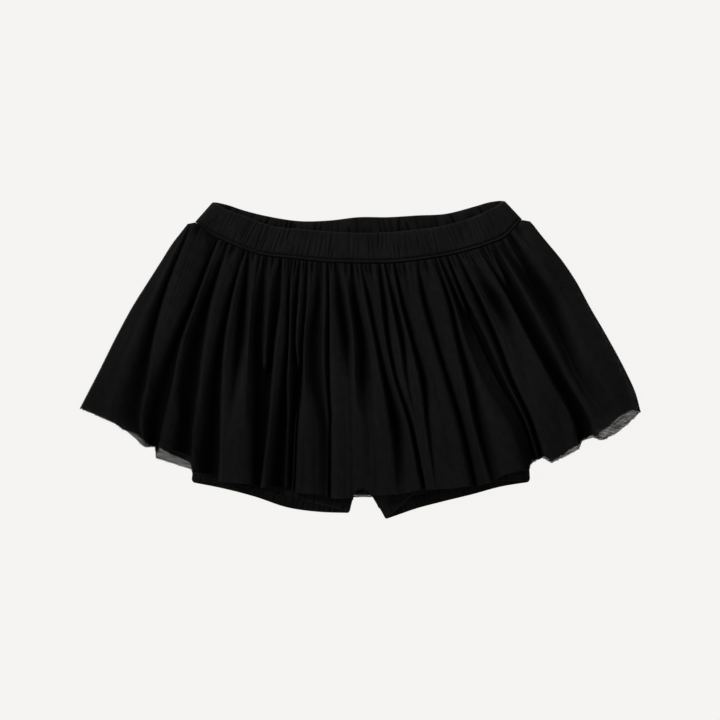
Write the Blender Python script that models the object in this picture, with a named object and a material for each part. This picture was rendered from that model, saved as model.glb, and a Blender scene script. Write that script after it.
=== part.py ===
"""Small child's tutu skirt with shorts sewn under it, laid flat on its back.

Units here are millimetres in the tables and metres in the meshes. X runs across the garment,
Y towards the waist, Z up from the surface that it lies on. The origin is the middle of the
garment's outline, on that surface. From the surface up lie the back's outer net and inner net,
the back and the front of the shorts, and the front's inner net and outer net. The waistband is
above them all along Y, and the leg hems below.
"""

from collections import namedtuple

import bpy
import numpy as np

MM = 0.001

# ---- Driving sizes, in millimetres -------------------------------------------------------

SEAM_GAP = 0.3            # left between two sewn pieces
SHORTS_SEAM_GAP = 0.5     # the same for the shorts, whose edges take the seams' curves in coarser steps
NET = 1.0                 # wall of one net layer
JERSEY = 1.2              # wall of the shorts
BAND_WALL = 3.0           # folded jersey with the elastic in it
CUFF_WALL = 1.5           # folded leg hem with thin elastic

BAND_TOP = (-0.9, 102.0)   # middle and half length of the band's upper edge
BAND_SEAM = (-1.4, 113.9)  # the same at its lower edge
BAND_FOLD_Z = 3.8         # height of the band's middle plane over the surface
BAND_INSIDE = 0.8         # and of the inner faces from that plane
BAND_RUCHE = 0.38         # height of the band's gathers over its mean face
STITCH_DIP = 0.45         # how deep the topstitching pulls the band in

VALLEY_STEP = 4.4         # the nearest that two valleys come, middle to middle, where folds join
VALLEY_FLOOR = 0.65       # half of the narrowest valley's floor
STEEP_RUN = 1.0           # how far across a fold's steep wall runs from foot to crest
SOFT_RUN = (1.2, 0.5)     # the same for a soft wall, and what each mm of valley width adds to it
SHOULDER = 0.88           # height of a ridge's shoulders, as a share of its crest's
TOP_ROOM = 2.2            # the least width left for a ridge's top, however near its valleys come
CREST_ROOM = (2.8, 3.0)   # the width at which a ridge is gone, and what more brings it to full height
COLUMN_STEP = 0.55        # the least from one column of the front's mesh to the next
GATHER = 0.9              # height of the fine gathers at the seam,
GATHER_FADE = 0.07        # and the share of the way down over which they fade
OUTER_LATER = 4.0         # the outer net comes down this much farther out than the inner

HEM_HALF = 196.0          # the hem's plain arc: half its chord, its lowest point and its rise
HEM_LOW, HEM_RISE, HEM_POWER = -96.5, 62.5, 2.1

NET_Z = {"top_back": 0.5, "under_back": 1.8, "under_front": 7.1, "top_front": 8.6}
SEAM_Z = {"top_back": 0.5, "under_back": 1.8, "under_front": 6.6, "top_front": 7.9}
SIDE_DROP = 4.0           # front layers come down by this beyond the shorts' sides
SHORTS_SIDE = 120.5       # half width at which they begin to
SIDE_SLOPE = 22.0         # and the width over which they do

SHORTS_BACK_Z, SHORTS_FRONT_Z, SHORTS_SEAM_Z = 3.2, 5.6, 5.2
SHORTS_TUCK = 0.8         # how far the front of the shorts comes down at its sides
TUCK_SHARE = 0.12         # over this share of a leg's width
SHORTS_TOP = (0.5, 2.5)   # X of the middle seam at the band, and how far the sides are inside the band's
LEG_REACH = 0.985         # how much of a leg hem's width the shorts' panel takes
LEG_START = 0.8           # share of the way down at which the shorts' walls turn to the leg hems' heights
CROTCH = (2.0, -87.5)     # where the legs part, and how far above that the middle edge begins to turn
CROTCH_TURN = 4.0
CUFF_HEIGHT = 9.0
CUFF_RUCHE = 0.3          # height of the leg hems' gathers
CUFF_FOLD_Z = 4.4         # height of the leg hems' middle plane
CUFF_INSIDE = 0.22        # and of their inner faces from it
CUFF_BACK_Z, CUFF_FRONT_Z = 3.45, 5.35   # heights of the shorts' walls where the leg hems begin
CUFF_DROOP = 2.2          # how far the leg hems come down towards the surface, past the back net's hem,
DROOP_START, DROOP_RUN = 3.0, 8.0   # where that begins below the hem, and the way over which it does
SETTLE = 0.12             # share of the way down over which a layer leaves its height at the seam

# ---- Tables ------------------------------------------------------------------------------

# The waistband from its left fold (-1) to its right fold (1): edge heights along Y.
Band = namedtuple("Band", "along front_top front_seam back_top back_seam")
BAND = [
    Band(-1.0, 110.6, 96.6, 111.0, 96.8),
    Band(-0.9, 105.0, 87.5, 108.6, 88.6),
    Band(-0.8, 101.3, 81.9, 105.2, 84.5),
    Band(-0.6, 93.9, 73.6, 100.2, 79.5),
    Band(-0.4, 91.6, 70.7, 97.3, 76.3),
    Band(-0.2, 89.9, 68.4, 97.8, 76.5),
    Band(0.0, 88.9, 67.7, 100.1, 78.6),
    Band(0.2, 89.4, 67.8, 100.1, 78.6),
    Band(0.4, 91.3, 70.2, 101.3, 79.8),
    Band(0.6, 94.4, 74.3, 102.5, 81.5),
    Band(0.8, 100.6, 81.0, 107.7, 86.5),
    Band(0.9, 105.0, 86.0, 110.0, 91.0),
    Band(1.0, 110.4, 98.4, 111.4, 98.6),
]

# The skirt's outer edges from the seam (0) to the hem (1): X at the left and at the right.
Side = namedtuple("Side", "down left right")
SIDES = [
    Side(0.0, -121.0, 119.5), Side(0.02, -123.0, 121.8), Side(0.05, -126.0, 124.8),
    Side(0.1, -131.0, 129.6), Side(0.2, -139.2, 139.3), Side(0.3, -147.4, 148.4),
    Side(0.45, -159.7, 160.3), Side(0.6, -170.4, 171.6), Side(0.8, -183.4, 184.8),
    Side(1.0, -196.0, 196.3),
]

# The folds of the front net, left to right. Each row is a valley, with the hem of the ridge
# on its right: the valley's place at the seam and the hem, its bow, its width and its depth
# (as a share of the ridges' height) near the seam, half way and at the hem, which wall
# stands steep (-1 left, 1 right, 0 neither), and how far the ridge's hem hangs below the
# hem's plain arc at its left and right ends.
Fold = namedtuple("Fold", "seam hem bow w_top w_mid w_hem d_top d_mid d_hem steep left right")
FOLDS = [
    Fold(-113.0, -153.3, -11.0, 1.5, 3.0, 4.0, 0.6, 0.8, 0.9, 1, -3.6, -1.8),
    Fold(-102.0, -144.4, -5.4, 2.0, 3.5, 5.0, 0.8, 1.0, 1.0, 1, -4.2, -6.5),
    Fold(-92.4, -119.6, -8.1, 2.0, 6.0, 6.0, 0.8, 1.0, 1.0, 1, 2.8, 1.3),
    Fold(-84.0, -102.9, -5.3, 2.0, 6.0, 8.7, 0.9, 1.0, 1.0, 1, 3.1, 1.6),
    Fold(-75.5, -88.0, -2.0, 1.5, 2.5, 2.0, 0.7, 0.5, 0.0, 0, 1.6, -1.7),
    Fold(-62.5, -70.7, -1.0, 5.5, 7.5, 2.5, 0.8, 1.0, 1.0, 1, 0.6, -2.0),
    Fold(-50.5, -66.2, -4.6, 1.2, 1.5, 1.5, 0.8, 0.5, 0.2, 0, -2.0, -2.6),
    Fold(-42.0, -52.6, 2.9, 1.5, 3.5, 9.0, 0.9, 1.0, 1.0, 1, -0.8, -1.0),
    Fold(-25.9, -23.8, -6.6, 1.5, 5.0, 2.5, 0.5, 0.9, 0.9, 1, 0.6, 0.4),
    Fold(-16.1, -5.0, 2.0, 1.5, 2.5, 2.0, 0.8, 0.5, 0.0, 0, -3.6, -3.8),
    Fold(-5.6, 7.4, 2.0, 1.5, 3.5, 3.0, 0.8, 0.7, 0.2, 0, -1.8, -2.0),
    Fold(4.6, 33.2, -2.6, 1.2, 3.0, 4.0, 0.9, 0.9, 0.9, -1, -2.1, -2.6),
    Fold(15.0, 41.2, 3.0, 1.5, 3.0, 1.5, 0.8, 0.7, 0.0, 0, -2.6, -3.4),
    Fold(25.0, 48.0, 8.0, 1.5, 3.0, 4.5, 0.9, 0.9, 0.9, -1, -2.6, 0.7),
    Fold(35.7, 79.1, 1.8, 1.5, 3.0, 4.0, 0.9, 1.0, 0.9, -1, 1.9, 1.4),
    Fold(48.5, 92.4, 3.6, 1.5, 3.0, 3.0, 0.7, 0.6, 0.5, -1, 0.0, 1.9),
    Fold(58.8, 123.4, -1.0, 1.5, 10.0, 8.0, 0.8, 1.0, 1.0, 1, -1.6, 3.6),
    Fold(70.5, 135.5, 4.5, 1.2, 1.5, 1.5, 0.8, 0.6, 0.0, 0, 3.6, 2.6),
    Fold(81.5, 146.5, 3.5, 1.5, 2.5, 2.0, 0.7, 0.5, 0.0, 0, 2.6, 1.4),
    Fold(92.4, 157.5, 0.0, 2.0, 5.5, 6.0, 0.9, 1.0, 1.0, -1, 0.4, -0.4),
    Fold(101.5, 176.4, 2.0, 2.0, 8.0, 6.0, 0.7, 0.9, 0.2, 0, -2.4, -1.0),
]
FAR_LEFT_HEM = (0.0, -5.6)   # the same for the panel left of the first valley

# How high the ridges stand over the valleys, from the seam (0) to the hem (1).
Loft = namedtuple("Loft", "down height")
LOFT = [Loft(0.0, 0.7), Loft(0.06, 3.2), Loft(0.15, 5.6), Loft(0.4, 7.6), Loft(0.7, 8.6), Loft(1.0, 9.0)]

# How far the other layers' hems hang below the plain arc, along X.
Drop = namedtuple("Drop", "x top_back under_front under_back")
DROPS = [
    Drop(-196.0, 0.0, -3.0, -5.0), Drop(-182.0, -2.1, -4.5, -6.0), Drop(-168.0, -4.1, -6.5, -7.0),
    Drop(-162.4, -3.6, -6.5, -6.5), Drop(-156.8, -1.8, -6.0, -6.0), Drop(-153.0, 0.5, -5.0, -6.0),
    Drop(-149.5, 0.5, -3.5, -6.0), Drop(-143.7, -3.0, -5.5, -6.0), Drop(-142.5, 4.6, -5.5, -4.0),
    Drop(-134.4, 3.5, -5.8, -3.0), Drop(-126.0, 2.6, -7.5, -3.0), Drop(-118.0, 2.0, -1.5, -3.0),
    Drop(-100.0, 0.0, -1.0, -3.0), Drop(-60.0, -2.5, -4.0, -4.0), Drop(-8.0, 0.0, -1.5, -1.0),
    Drop(8.0, 0.2, -4.5, 0.0), Drop(60.0, -2.5, -4.0, -4.0), Drop(100.0, -2.5, -3.0, -4.0),
    Drop(118.0, -0.4, -4.0, -5.0), Drop(123.9, -2.3, -5.0, -6.0), Drop(128.1, -2.0, -5.0, -6.0),
    Drop(134.4, 4.2, 1.0, -3.0), Drop(153.3, 3.4, 0.0, -3.0), Drop(155.4, -1.0, -3.0, -6.0),
    Drop(163.0, 0.2, -3.0, -5.0), Drop(168.0, 5.0, -3.0, -4.0), Drop(171.0, 6.6, -3.0, -4.0),
    Drop(178.5, 7.0, -4.5, -5.0), Drop(186.9, 5.9, -5.0, -6.0), Drop(196.3, 2.8, -4.0, -7.0),
]

# A leg hem from its left fold (-1) to its right fold (1): the lower edges along Y.
Leg = namedtuple("Leg", "along back front")
LEFT_LEG = [
    Leg(-1.0, -85.6, -84.8), Leg(-0.6, -90.0, -86.5), Leg(-0.2, -95.8, -90.5),
    Leg(0.2, -103.0, -96.2), Leg(0.6, -106.2, -100.8), Leg(1.0, -107.0, -106.2),
]
RIGHT_LEG = [
    Leg(-1.0, -111.2, -110.3), Leg(-0.6, -104.5, -94.5), Leg(-0.2, -99.2, -90.0),
    Leg(0.2, -94.2, -87.5), Leg(0.6, -88.7, -84.6), Leg(1.0, -85.4, -84.4),
]
LEFT_SPAN, RIGHT_SPAN = (-62.3, 54.9), (68.2, 50.3)   # middle and half width of each leg hem


# ---- Curves ------------------------------------------------------------------------------


def through(x, xs, ys):
    """A smooth curve through a table's points, at x."""
    x, xs, ys = np.asarray(x, float), np.asarray(xs, float), np.asarray(ys, float)
    slope = np.gradient(ys, xs)
    i = np.clip(np.searchsorted(xs, x) - 1, 0, len(xs) - 2)
    step = xs[i + 1] - xs[i]
    t = np.clip((x - xs[i]) / step, 0.0, 1.0)
    start = (1 + 2 * t) * (1 - t) ** 2 * ys[i] + t * (1 - t) ** 2 * step * slope[i]
    end = t**2 * (3 - 2 * t) * ys[i + 1] + t**2 * (t - 1) * step * slope[i + 1]
    return start + end


def column(table, name):
    return [getattr(row, name) for row in table]


def ease(t):
    """Smooth step from 0 to 1."""
    t = np.clip(t, 0.0, 1.0)
    return t * t * (3 - 2 * t)


def bend(down):
    """How much of a fold's bow shows at each share of the way from seam to hem."""
    w = np.asarray(down, float) ** 0.8
    return 4 * w * (1 - w)


def hem_arc(x):
    return HEM_LOW + HEM_RISE * np.abs(np.asarray(x, float) / HEM_HALF) ** HEM_POWER


def hem_of(layer, x):
    return hem_arc(x) - np.interp(x, column(DROPS, "x"), column(DROPS, layer))


def side_edge(hand, down, inset=0.0):
    """X of the skirt's outer edge. hand is left or right, and inset moves it inwards."""
    edge = through(down, column(SIDES, "down"), column(SIDES, hand))
    return edge + inset if hand == "left" else edge - inset


def side_drop(x, later=0.0):
    """How far the front layers have come down at x, beyond the shorts' sides. later moves that outwards."""
    return SIDE_DROP * ease((np.abs(x) - SHORTS_SIDE - later) / SIDE_SLOPE)


# ---- Meshes ------------------------------------------------------------------------------


def make_material(name, colour, roughness):
    material = bpy.data.materials.new(name)
    material.use_nodes = True
    shader = material.node_tree.nodes["Principled BSDF"]
    shader.inputs["Base Color"].default_value = (*colour, 1.0)
    shader.inputs["Roughness"].default_value = roughness
    shader.inputs["Metallic"].default_value = 0.0
    return material


def wall(name, surface, thickness, material):
    """A cloth wall on the grid surface[row, column] = (x, y, z), rows running down the garment."""
    rows, columns = surface.shape[:2]
    faces = [
        (r * columns + c, (r + 1) * columns + c, (r + 1) * columns + c + 1, r * columns + c + 1)
        for r in range(rows - 1)
        for c in range(columns - 1)
    ]
    mesh = bpy.data.meshes.new(name)
    mesh.from_pydata((surface.reshape(-1, 3) * MM).tolist(), [], faces)
    mesh.materials.append(material)
    mesh.shade_smooth()
    obj = bpy.data.objects.new(name, mesh)
    bpy.context.scene.collection.objects.link(obj)
    solidify = obj.modifiers.new("Wall", "SOLIDIFY")
    solidify.thickness = thickness * MM
    solidify.offset = 0.0
    solidify.use_even_offset = True
    solidify.thickness_clamp = 0.0
    return obj


def shell(name, outer, inner, sign, material):
    """A closed wall between two grids alike in shape. sign is 1 with the outer one on top, else -1."""
    rows, columns = outer.shape[:2]
    size = rows * columns
    grid = np.arange(size).reshape(rows, columns)
    quads = np.stack([grid[:-1, :-1], grid[1:, :-1], grid[1:, 1:], grid[:-1, 1:]], axis=-1).reshape(-1, 4)
    rim = np.concatenate([grid[0], grid[1:, -1], grid[-1, -2::-1], grid[-2:0:-1, 0]])
    after = np.roll(rim, -1)
    edge = np.stack([rim, after, after + size, rim + size], axis=-1)
    faces = np.concatenate([quads, quads[:, ::-1] + size, edge])[:, ::sign]
    points = np.concatenate([outer.reshape(-1, 3), inner.reshape(-1, 3)])
    mesh = bpy.data.meshes.new(name)
    mesh.from_pydata((points * MM).tolist(), [], faces.tolist())
    mesh.materials.append(material)
    obj = bpy.data.objects.new(name, mesh)
    bpy.context.scene.collection.objects.link(obj)
    return obj


# ---- Waistband ---------------------------------------------------------------------------


def tube_face(half, radius, reach, count, turns=4):
    """Half of a flattened tube, fold to fold: places across it and heights over its middle plane.

    radius is that of this face round the folds and reach that of the outermost face.
    """
    flat = np.linspace(-half + reach, half - reach, count)
    angles = np.radians(np.linspace(0, 90, turns + 1)[1:])
    aside = radius * np.sin(angles)
    up = np.maximum(radius * np.cos(angles), SEAM_GAP / 2)
    across = np.concatenate([flat[0] - aside[::-1], flat, flat[-1] + aside])
    return across, np.concatenate([up[::-1], np.full(count, radius), up])


def ruches(along, count, height, seed):
    """Uneven gathers across a strip: one wave each, of unequal height."""
    rng = np.random.default_rng(seed)
    phase = (along + 1) / 2 * count
    each = rng.uniform(0.45, 1.0, count + 2)
    drift = 0.3 * np.sin(phase * 1.7)
    return height * each[np.clip(phase.astype(int), 0, count)] * np.cos(2 * np.pi * (phase + drift))


def make_band(name, side, columns, count, sign, material):
    """Half of the waistband. sign is 1 for the front, which lies above the fold, and -1 for the back."""
    reach = BAND_INSIDE + BAND_WALL
    # Rows down the band: its folded edge, three on the flat, the topstitching and the seam.
    rows = [(0, 0.5, 0), (0.3, 1, 0), (0.74, 1, 0), (0.87, 0.1, STITCH_DIP), (1, 0.3, 0)]
    grids = []
    for radius in (reach, BAND_INSIDE):
        lines = []
        for down, ruched, dip in rows:
            middle, half = (BAND_TOP[i] * (1 - down) + BAND_SEAM[i] * down for i in (0, 1))
            across, height = tube_face(half, radius, reach, columns)
            along = across / half
            top = through(along, column(BAND, "along"), column(BAND, side + "_top"))
            seam = through(along, column(BAND, "along"), column(BAND, side + "_seam"))
            z = BAND_FOLD_Z + sign * height
            if sign > 0 and radius == reach:
                flat = height == radius
                z = z + flat * (ruches(along, count, BAND_RUCHE, 3) * ruched - dip)
            lines.append(np.stack([middle + across, top * (1 - down) + seam * down, z], axis=-1))
        grids.append(np.array(lines))
    return shell(name, grids[0], grids[1], sign, material)


# ---- Net layers --------------------------------------------------------------------------


def seam_line(x, side):
    """Y of the net's gathered edge, just below the band."""
    middle, half = BAND_SEAM
    along = np.clip((x - middle) / half, -1, 1)
    y = through(along, column(BAND, "along"), column(BAND, side + "_seam")) - SEAM_GAP
    # Past the band's folds the edge falls away gently.
    return y - 0.2 * np.maximum(0, np.abs(x - middle) - half + 1)


def layer_height(layer, down):
    """Height of the middle of a net layer's wall, where it lies flat over the shorts."""
    return SEAM_Z[layer] + (NET_Z[layer] - SEAM_Z[layer]) * ease(down / SETTLE)


def fold_share(fold, prefix, down):
    """A fold's width or depth at each share of the way down."""
    return np.interp(
        down,
        [0.0, 0.1, 0.5, 1.0],
        [getattr(fold, prefix + n) for n in ("_top", "_top", "_mid", "_hem")],
    )


def top_front_columns(down):
    """X, height share (0 valley, 1 crest) and hem drop of each column, at one share of the way down."""
    columns = []
    centre = [side_edge("left", down, NET)]
    centre += [f.seam + (f.hem - f.seam) * down + f.bow * bend(down) for f in FOLDS]
    centre += [side_edge("right", down, NET)]
    for i in range(1, len(centre)):
        centre[i] = max(centre[i], centre[i - 1] + VALLEY_STEP)
    drops = [FAR_LEFT_HEM] + [(f.left, f.right) for f in FOLDS]
    for i, (drop_left, drop_right) in enumerate(drops):
        left = FOLDS[i - 1] if i else None
        right = FOLDS[i] if i < len(FOLDS) else None
        start, end = centre[i], centre[i + 1]
        foot_left, reach_left, low_left = valley_half(left, down, 1)
        foot_right, reach_right, low_right = valley_half(right, down, -1)
        # A ridge with no room for its walls is squeezed and comes down, so that its valleys join.
        foot_left, foot_right = (min(foot, 0.25 * (end - start)) for foot in (foot_left, foot_right))
        room = end - start - foot_left - foot_right
        squeeze = min(1.0, (room - TOP_ROOM) / max(reach_left + reach_right, STEEP_RUN))
        crest = min(1.0, max(0.0, (room - CREST_ROOM[0]) / CREST_ROOM[1]))
        first = start + foot_left + reach_left * squeeze
        last = end - foot_right - reach_right * squeeze
        shoulder = SHOULDER * crest
        columns.append((start + foot_left, low_left, drop_left))
        if left:
            columns.append((first, max(shoulder, low_left * (1 - crest)), drop_left))
        for share in (0.33, 0.67):
            low = (low_left + low_right) / 2
            columns.append((
                first + (last - first) * share,
                low + (1 - low) * crest,
                drop_left + (drop_right - drop_left) * share,
            ))
        if right:
            columns.append((last, max(shoulder, low_right * (1 - crest)), drop_right))
        columns.append((end - foot_right, low_right, drop_right))
    return columns


def valley_half(fold, down, side):
    """Half the width of a valley's floor, the run of its wall on one side (-1 left, 1 right), its height."""
    if fold is None:
        return 0.0, 0.0, 0.0
    width = fold_share(fold, "w", down)
    reach = STEEP_RUN if fold.steep == side else SOFT_RUN[0] + SOFT_RUN[1] * width
    return max(VALLEY_FLOOR, 0.3 * width), reach, 1 - fold_share(fold, "d", down)


def make_top_front(material):
    """The outermost net of the front, with its folds."""
    downs = np.array([0.0, 0.035, 0.09, 0.18, 0.3, 0.44, 0.6, 0.76, 0.89, 1.0])
    rng = np.random.default_rng(11)
    rows = []
    for down in downs:
        x, share, drop = (np.array(v, float) for v in zip(*top_front_columns(down)))
        for i in range(1, len(x)):
            x[i] = max(x[i], x[i - 1] + COLUMN_STEP)
        rows.append((x, share, drop))
    hem_x, hem_drop = rows[-1][0], rows[-1][2]
    hem_y = hem_arc(hem_x) - hem_drop
    seam_y = seam_line(rows[0][0], "front")
    gather = np.abs(rng.uniform(-1.0, 1.0, len(hem_x)))
    gather[1::2] = 0
    points = []
    for down, (x, share, _) in zip(downs, rows):
        y = seam_y * (1 - down) + hem_y * down
        loft = through(down, column(LOFT, "down"), column(LOFT, "height"))
        base = layer_height("top_front", down)
        gathers = GATHER * np.exp(-down / GATHER_FADE) * gather
        z = base - side_drop(x, OUTER_LATER) + loft * share + gathers
        points.append(np.stack([x, y, z], axis=-1))
    return wall("net_top_front", np.array(points), NET, material)


def make_net(name, layer, side, count, downs, inset, material):
    """A layer that is mostly hidden, with its own hem. inset narrows it at its left and right edges."""
    ends = [side_edge("left", 1.0, inset[0]), side_edge("right", 1.0, inset[1])]
    hem_x = np.linspace(ends[0], ends[1], count)
    if layer == "top_back":
        steps = [x for x in column(DROPS, "x") if np.abs(hem_x - x).min() > 0.5]
        hem_x = np.sort(np.concatenate([hem_x, steps]))
    share = (hem_x - ends[0]) / (ends[1] - ends[0])
    seam_x = [side_edge("left", 0.0, 0.5 * inset[0]), side_edge("right", 0.0, 0.5 * inset[1])]
    seam_y = seam_line(seam_x[0] * (1 - share) + seam_x[1] * share, side)
    hem_y = hem_of(layer, hem_x)
    rows = []
    for down in downs:
        inner = 0.5 + 0.5 * down
        left, right = (side_edge(hand, down, inner * i) for hand, i in zip(("left", "right"), inset))
        x = left * (1 - share) + right * share
        y = seam_y * (1 - down) + hem_y * down
        z = layer_height(layer, down) + 0 * x
        if side == "front":
            z = z - side_drop(x)
        rows.append(np.stack([x, y, z], axis=-1))
    return wall(name, np.array(rows), NET, material)


# ---- Shorts ------------------------------------------------------------------------------


def leg_edges(leg, span, side, along):
    """The lower and upper edges of a leg hem, as (x, y) each."""
    middle, half = span
    x = middle + half * along
    y = through(along, column(leg, "along"), column(leg, side))
    slope = np.gradient(y, x)
    length = np.sqrt(1 + slope**2)
    low = np.stack([x, y], axis=-1)
    return low, low + CUFF_HEIGHT * np.stack([-slope / length, 1 / length], axis=-1)


def cuff_droop(x, y):
    """How far a leg hem has come down to the surface, past the hem of the back net."""
    return CUFF_DROOP * ease((hem_of("top_back", x) - y - DROOP_START) / DROOP_RUN)


def make_cuff(name, leg, span, side, sign, count, material):
    """Half of an elastic leg hem."""
    reach = CUFF_INSIDE + CUFF_WALL
    grids = []
    for radius in (reach, CUFF_INSIDE):
        across, height = tube_face(span[1], radius, reach, count)
        low, high = leg_edges(leg, span, side, across / span[1])
        waves = ruches(across / span[1], count // 3, CUFF_RUCHE, 7 + len(name))
        waves = waves * (height == reach) * (sign > 0)
        lines = []
        for down, ruched in [(0, 0.4), (0.5, 1), (1, 0.6)]:
            plan = high * (1 - down) + low * down
            z = CUFF_FOLD_Z + sign * height + waves * ruched - cuff_droop(plan[:, 0], plan[:, 1])
            lines.append(np.stack([plan[:, 0], plan[:, 1], z], axis=-1))
        grids.append(np.array(lines))
    return shell(name, grids[0], grids[1], sign, material)


def make_shorts_panel(name, leg, span, side, hand, material):
    """A quarter of the shorts, from the band to a leg hem. hand is -1 for the left leg, 1 for the right."""
    count = 15
    share = np.linspace(0, 1, count)            # from the side to the middle of the body
    along = -hand * (2 * share - 1) * LEG_REACH
    order = np.argsort(along)
    upper = leg_edges(leg, span, side, along[order])[1][np.argsort(order)]
    middle_x = SHORTS_TOP[0] + hand * SEAM_GAP / 2
    side_x = BAND_SEAM[0] + hand * (BAND_SEAM[1] - SHORTS_TOP[1])
    seam_x = side_x + (middle_x - side_x) * share
    seam_y = seam_line(seam_x, side) - SHORTS_SEAM_GAP
    rows = []
    for down in (0.0, 0.06, 0.15, 0.3, 0.5, 0.7, 0.85, 0.93, 1.0):
        x = seam_x * (1 - down) + upper[:, 0] * down
        y = seam_y * (1 - down) + (upper[:, 1] + SHORTS_SEAM_GAP) * down
        # The middle edge keeps to the body's centre line down to the crotch.
        centre_x = middle_x + (CROTCH[0] - SHORTS_TOP[0]) * ease(y[-1] / CROTCH[1])
        turn = CROTCH[1] + CROTCH_TURN
        leg_share = ease((turn - y[-1]) / (turn - upper[-1, 1]))
        wanted = centre_x * (1 - leg_share) + upper[-1, 0] * leg_share
        x = x + (wanted - x[-1]) * share**2
        near_leg = ease((down - LEG_START) / (1 - LEG_START))
        if side == "front":
            z = SHORTS_SEAM_Z + (SHORTS_FRONT_Z - SHORTS_SEAM_Z) * ease(down / SETTLE) + 0 * x
            z = z + (CUFF_FRONT_Z - SHORTS_FRONT_Z) * near_leg - SHORTS_TUCK * ease(1 - share / TUCK_SHARE)
        else:
            z = SHORTS_BACK_Z + (CUFF_BACK_Z - SHORTS_BACK_Z) * near_leg + 0 * x
        z = z - cuff_droop(x, y)
        rows.append(np.stack([x, y, z], axis=-1))
    surface = np.array(rows)
    if hand > 0:
        surface = surface[:, ::-1]
    return wall(name, surface, JERSEY, material)


# ---- The garment -------------------------------------------------------------------------


def main():
    for obj in list(bpy.data.objects):
        bpy.data.objects.remove(obj)
    net = make_material("net", (0.010, 0.010, 0.011), 0.85)
    jersey = make_material("jersey", (0.012, 0.012, 0.012), 0.9)
    make_band("waistband_back", "back", 50, 30, -1, jersey)
    make_band("waistband_front", "front", 140, 46, 1, jersey)
    make_net("net_top_back", "top_back", "back", 41, (0, 0.04, 0.12, 0.3, 0.6, 0.9, 1), (0.0, 0.0), net)
    make_net("net_under_back", "under_back", "back", 41, (0, 0.04, 0.12, 0.4, 0.8, 1), (3.0, 7.0), net)
    rows = (0, 0.04, 0.12, 0.3, 0.6, 0.85, 1)
    make_net("net_under_front", "under_front", "front", 61, rows, (2.5, 6.0), net)
    make_top_front(net)
    for hand, leg, span, word in ((-1, LEFT_LEG, LEFT_SPAN, "left"), (1, RIGHT_LEG, RIGHT_SPAN, "right")):
        for side, sign in (("back", -1), ("front", 1)):
            make_shorts_panel(f"shorts_{side}_{word}", leg, span, side, hand, jersey)
            make_cuff(f"leg_hem_{side}_{word}", leg, span, side, sign, 42 if sign > 0 else 24, jersey)


main()
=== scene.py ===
"""A small child's black tutu skirt with shorts sewn under it, laid flat on its back.

Sizes are in millimetres unless a name says otherwise, and meshes are in metres. X runs across the
garment, Y towards the waist, and Z up from the surface that it lies on. The origin is the middle of
the garment's outline on that surface. Left and right are those of the picture.
"""

from __future__ import annotations

import logging
import math
from dataclasses import dataclass
from enum import Enum
from typing import NamedTuple, Sequence

import bpy
import numpy as np
from bpy.types import Material, Node, NodeSocket, Object
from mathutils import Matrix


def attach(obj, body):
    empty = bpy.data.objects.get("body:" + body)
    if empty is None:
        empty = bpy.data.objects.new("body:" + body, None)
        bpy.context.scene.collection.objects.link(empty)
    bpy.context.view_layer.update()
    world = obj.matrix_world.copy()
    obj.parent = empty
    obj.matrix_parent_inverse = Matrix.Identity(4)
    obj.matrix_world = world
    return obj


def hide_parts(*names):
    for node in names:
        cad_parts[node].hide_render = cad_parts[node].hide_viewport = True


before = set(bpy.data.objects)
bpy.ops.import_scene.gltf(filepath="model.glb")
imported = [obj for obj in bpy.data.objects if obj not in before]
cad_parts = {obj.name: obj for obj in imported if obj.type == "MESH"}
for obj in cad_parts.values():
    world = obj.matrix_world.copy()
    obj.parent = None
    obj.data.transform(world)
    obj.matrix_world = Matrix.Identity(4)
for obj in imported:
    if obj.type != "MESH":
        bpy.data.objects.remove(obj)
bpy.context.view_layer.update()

LOG = logging.getLogger("tutu_skirt")
MM = 0.001
BODY = "root"
# Name of the point attribute that holds painted shade: how much each point's colour is darkened for the
# shade in folds, creases and grooves, 0 to 1.
PAINTED_SHADE = "painted_shade"
CLOTH_UV = "Cloth"
OUTWARD = "outward"


# ---- Choices -----------------------------------------------------------------------------


class Side(Enum):
    """Which half of the garment a piece belongs to."""

    FRONT = "front"
    BACK = "back"


class Hand(Enum):
    """Left or right in the picture; the value is the sign of X."""

    LEFT = -1
    RIGHT = 1


class Held(Enum):
    """How a cloth lies."""

    GATHERED = "gathered"
    LAID = "laid"


class Slot(Enum):
    """The material slots of the record."""

    BAND = "band_jersey"
    OUTER_NET = "outer_net"
    INNER_NET = "inner_net"
    SHORTS = "shorts_jersey"
    HEM = "hem_jersey"


# ---- Tables ------------------------------------------------------------------------------


class BandRow(NamedTuple):
    """Edges of the waistband along Y, at a place from its left fold (-1) to its right fold (1)."""

    along: float
    front_top: float
    front_seam: float
    back_top: float
    back_seam: float


BAND_ROWS = [BandRow(*row) for row in (
    (-1.0, 110.6, 96.6, 111.0, 96.8), (-0.9, 105.0, 87.5, 108.6, 88.6),
    (-0.8, 101.3, 81.9, 105.2, 84.5), (-0.6, 93.9, 73.6, 100.2, 79.5),
    (-0.4, 91.6, 70.7, 97.3, 76.3), (-0.2, 89.9, 68.4, 97.8, 76.5), (0.0, 88.9, 67.7, 100.1, 78.6),
    (0.2, 89.4, 67.8, 100.1, 78.6), (0.4, 91.3, 70.2, 101.3, 79.8), (0.6, 94.4, 74.3, 102.5, 81.5),
    (0.8, 100.6, 81.0, 107.7, 86.5), (0.9, 105.3, 86.0, 110.6, 91.0),
    (1.0, 111.2, 98.4, 112.0, 98.6),
)]


class EdgeRow(NamedTuple):
    """X of the skirt's outer edges, at a share of the way from the seam (0) to the hem (1)."""

    down: float
    left: float
    right: float


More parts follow.
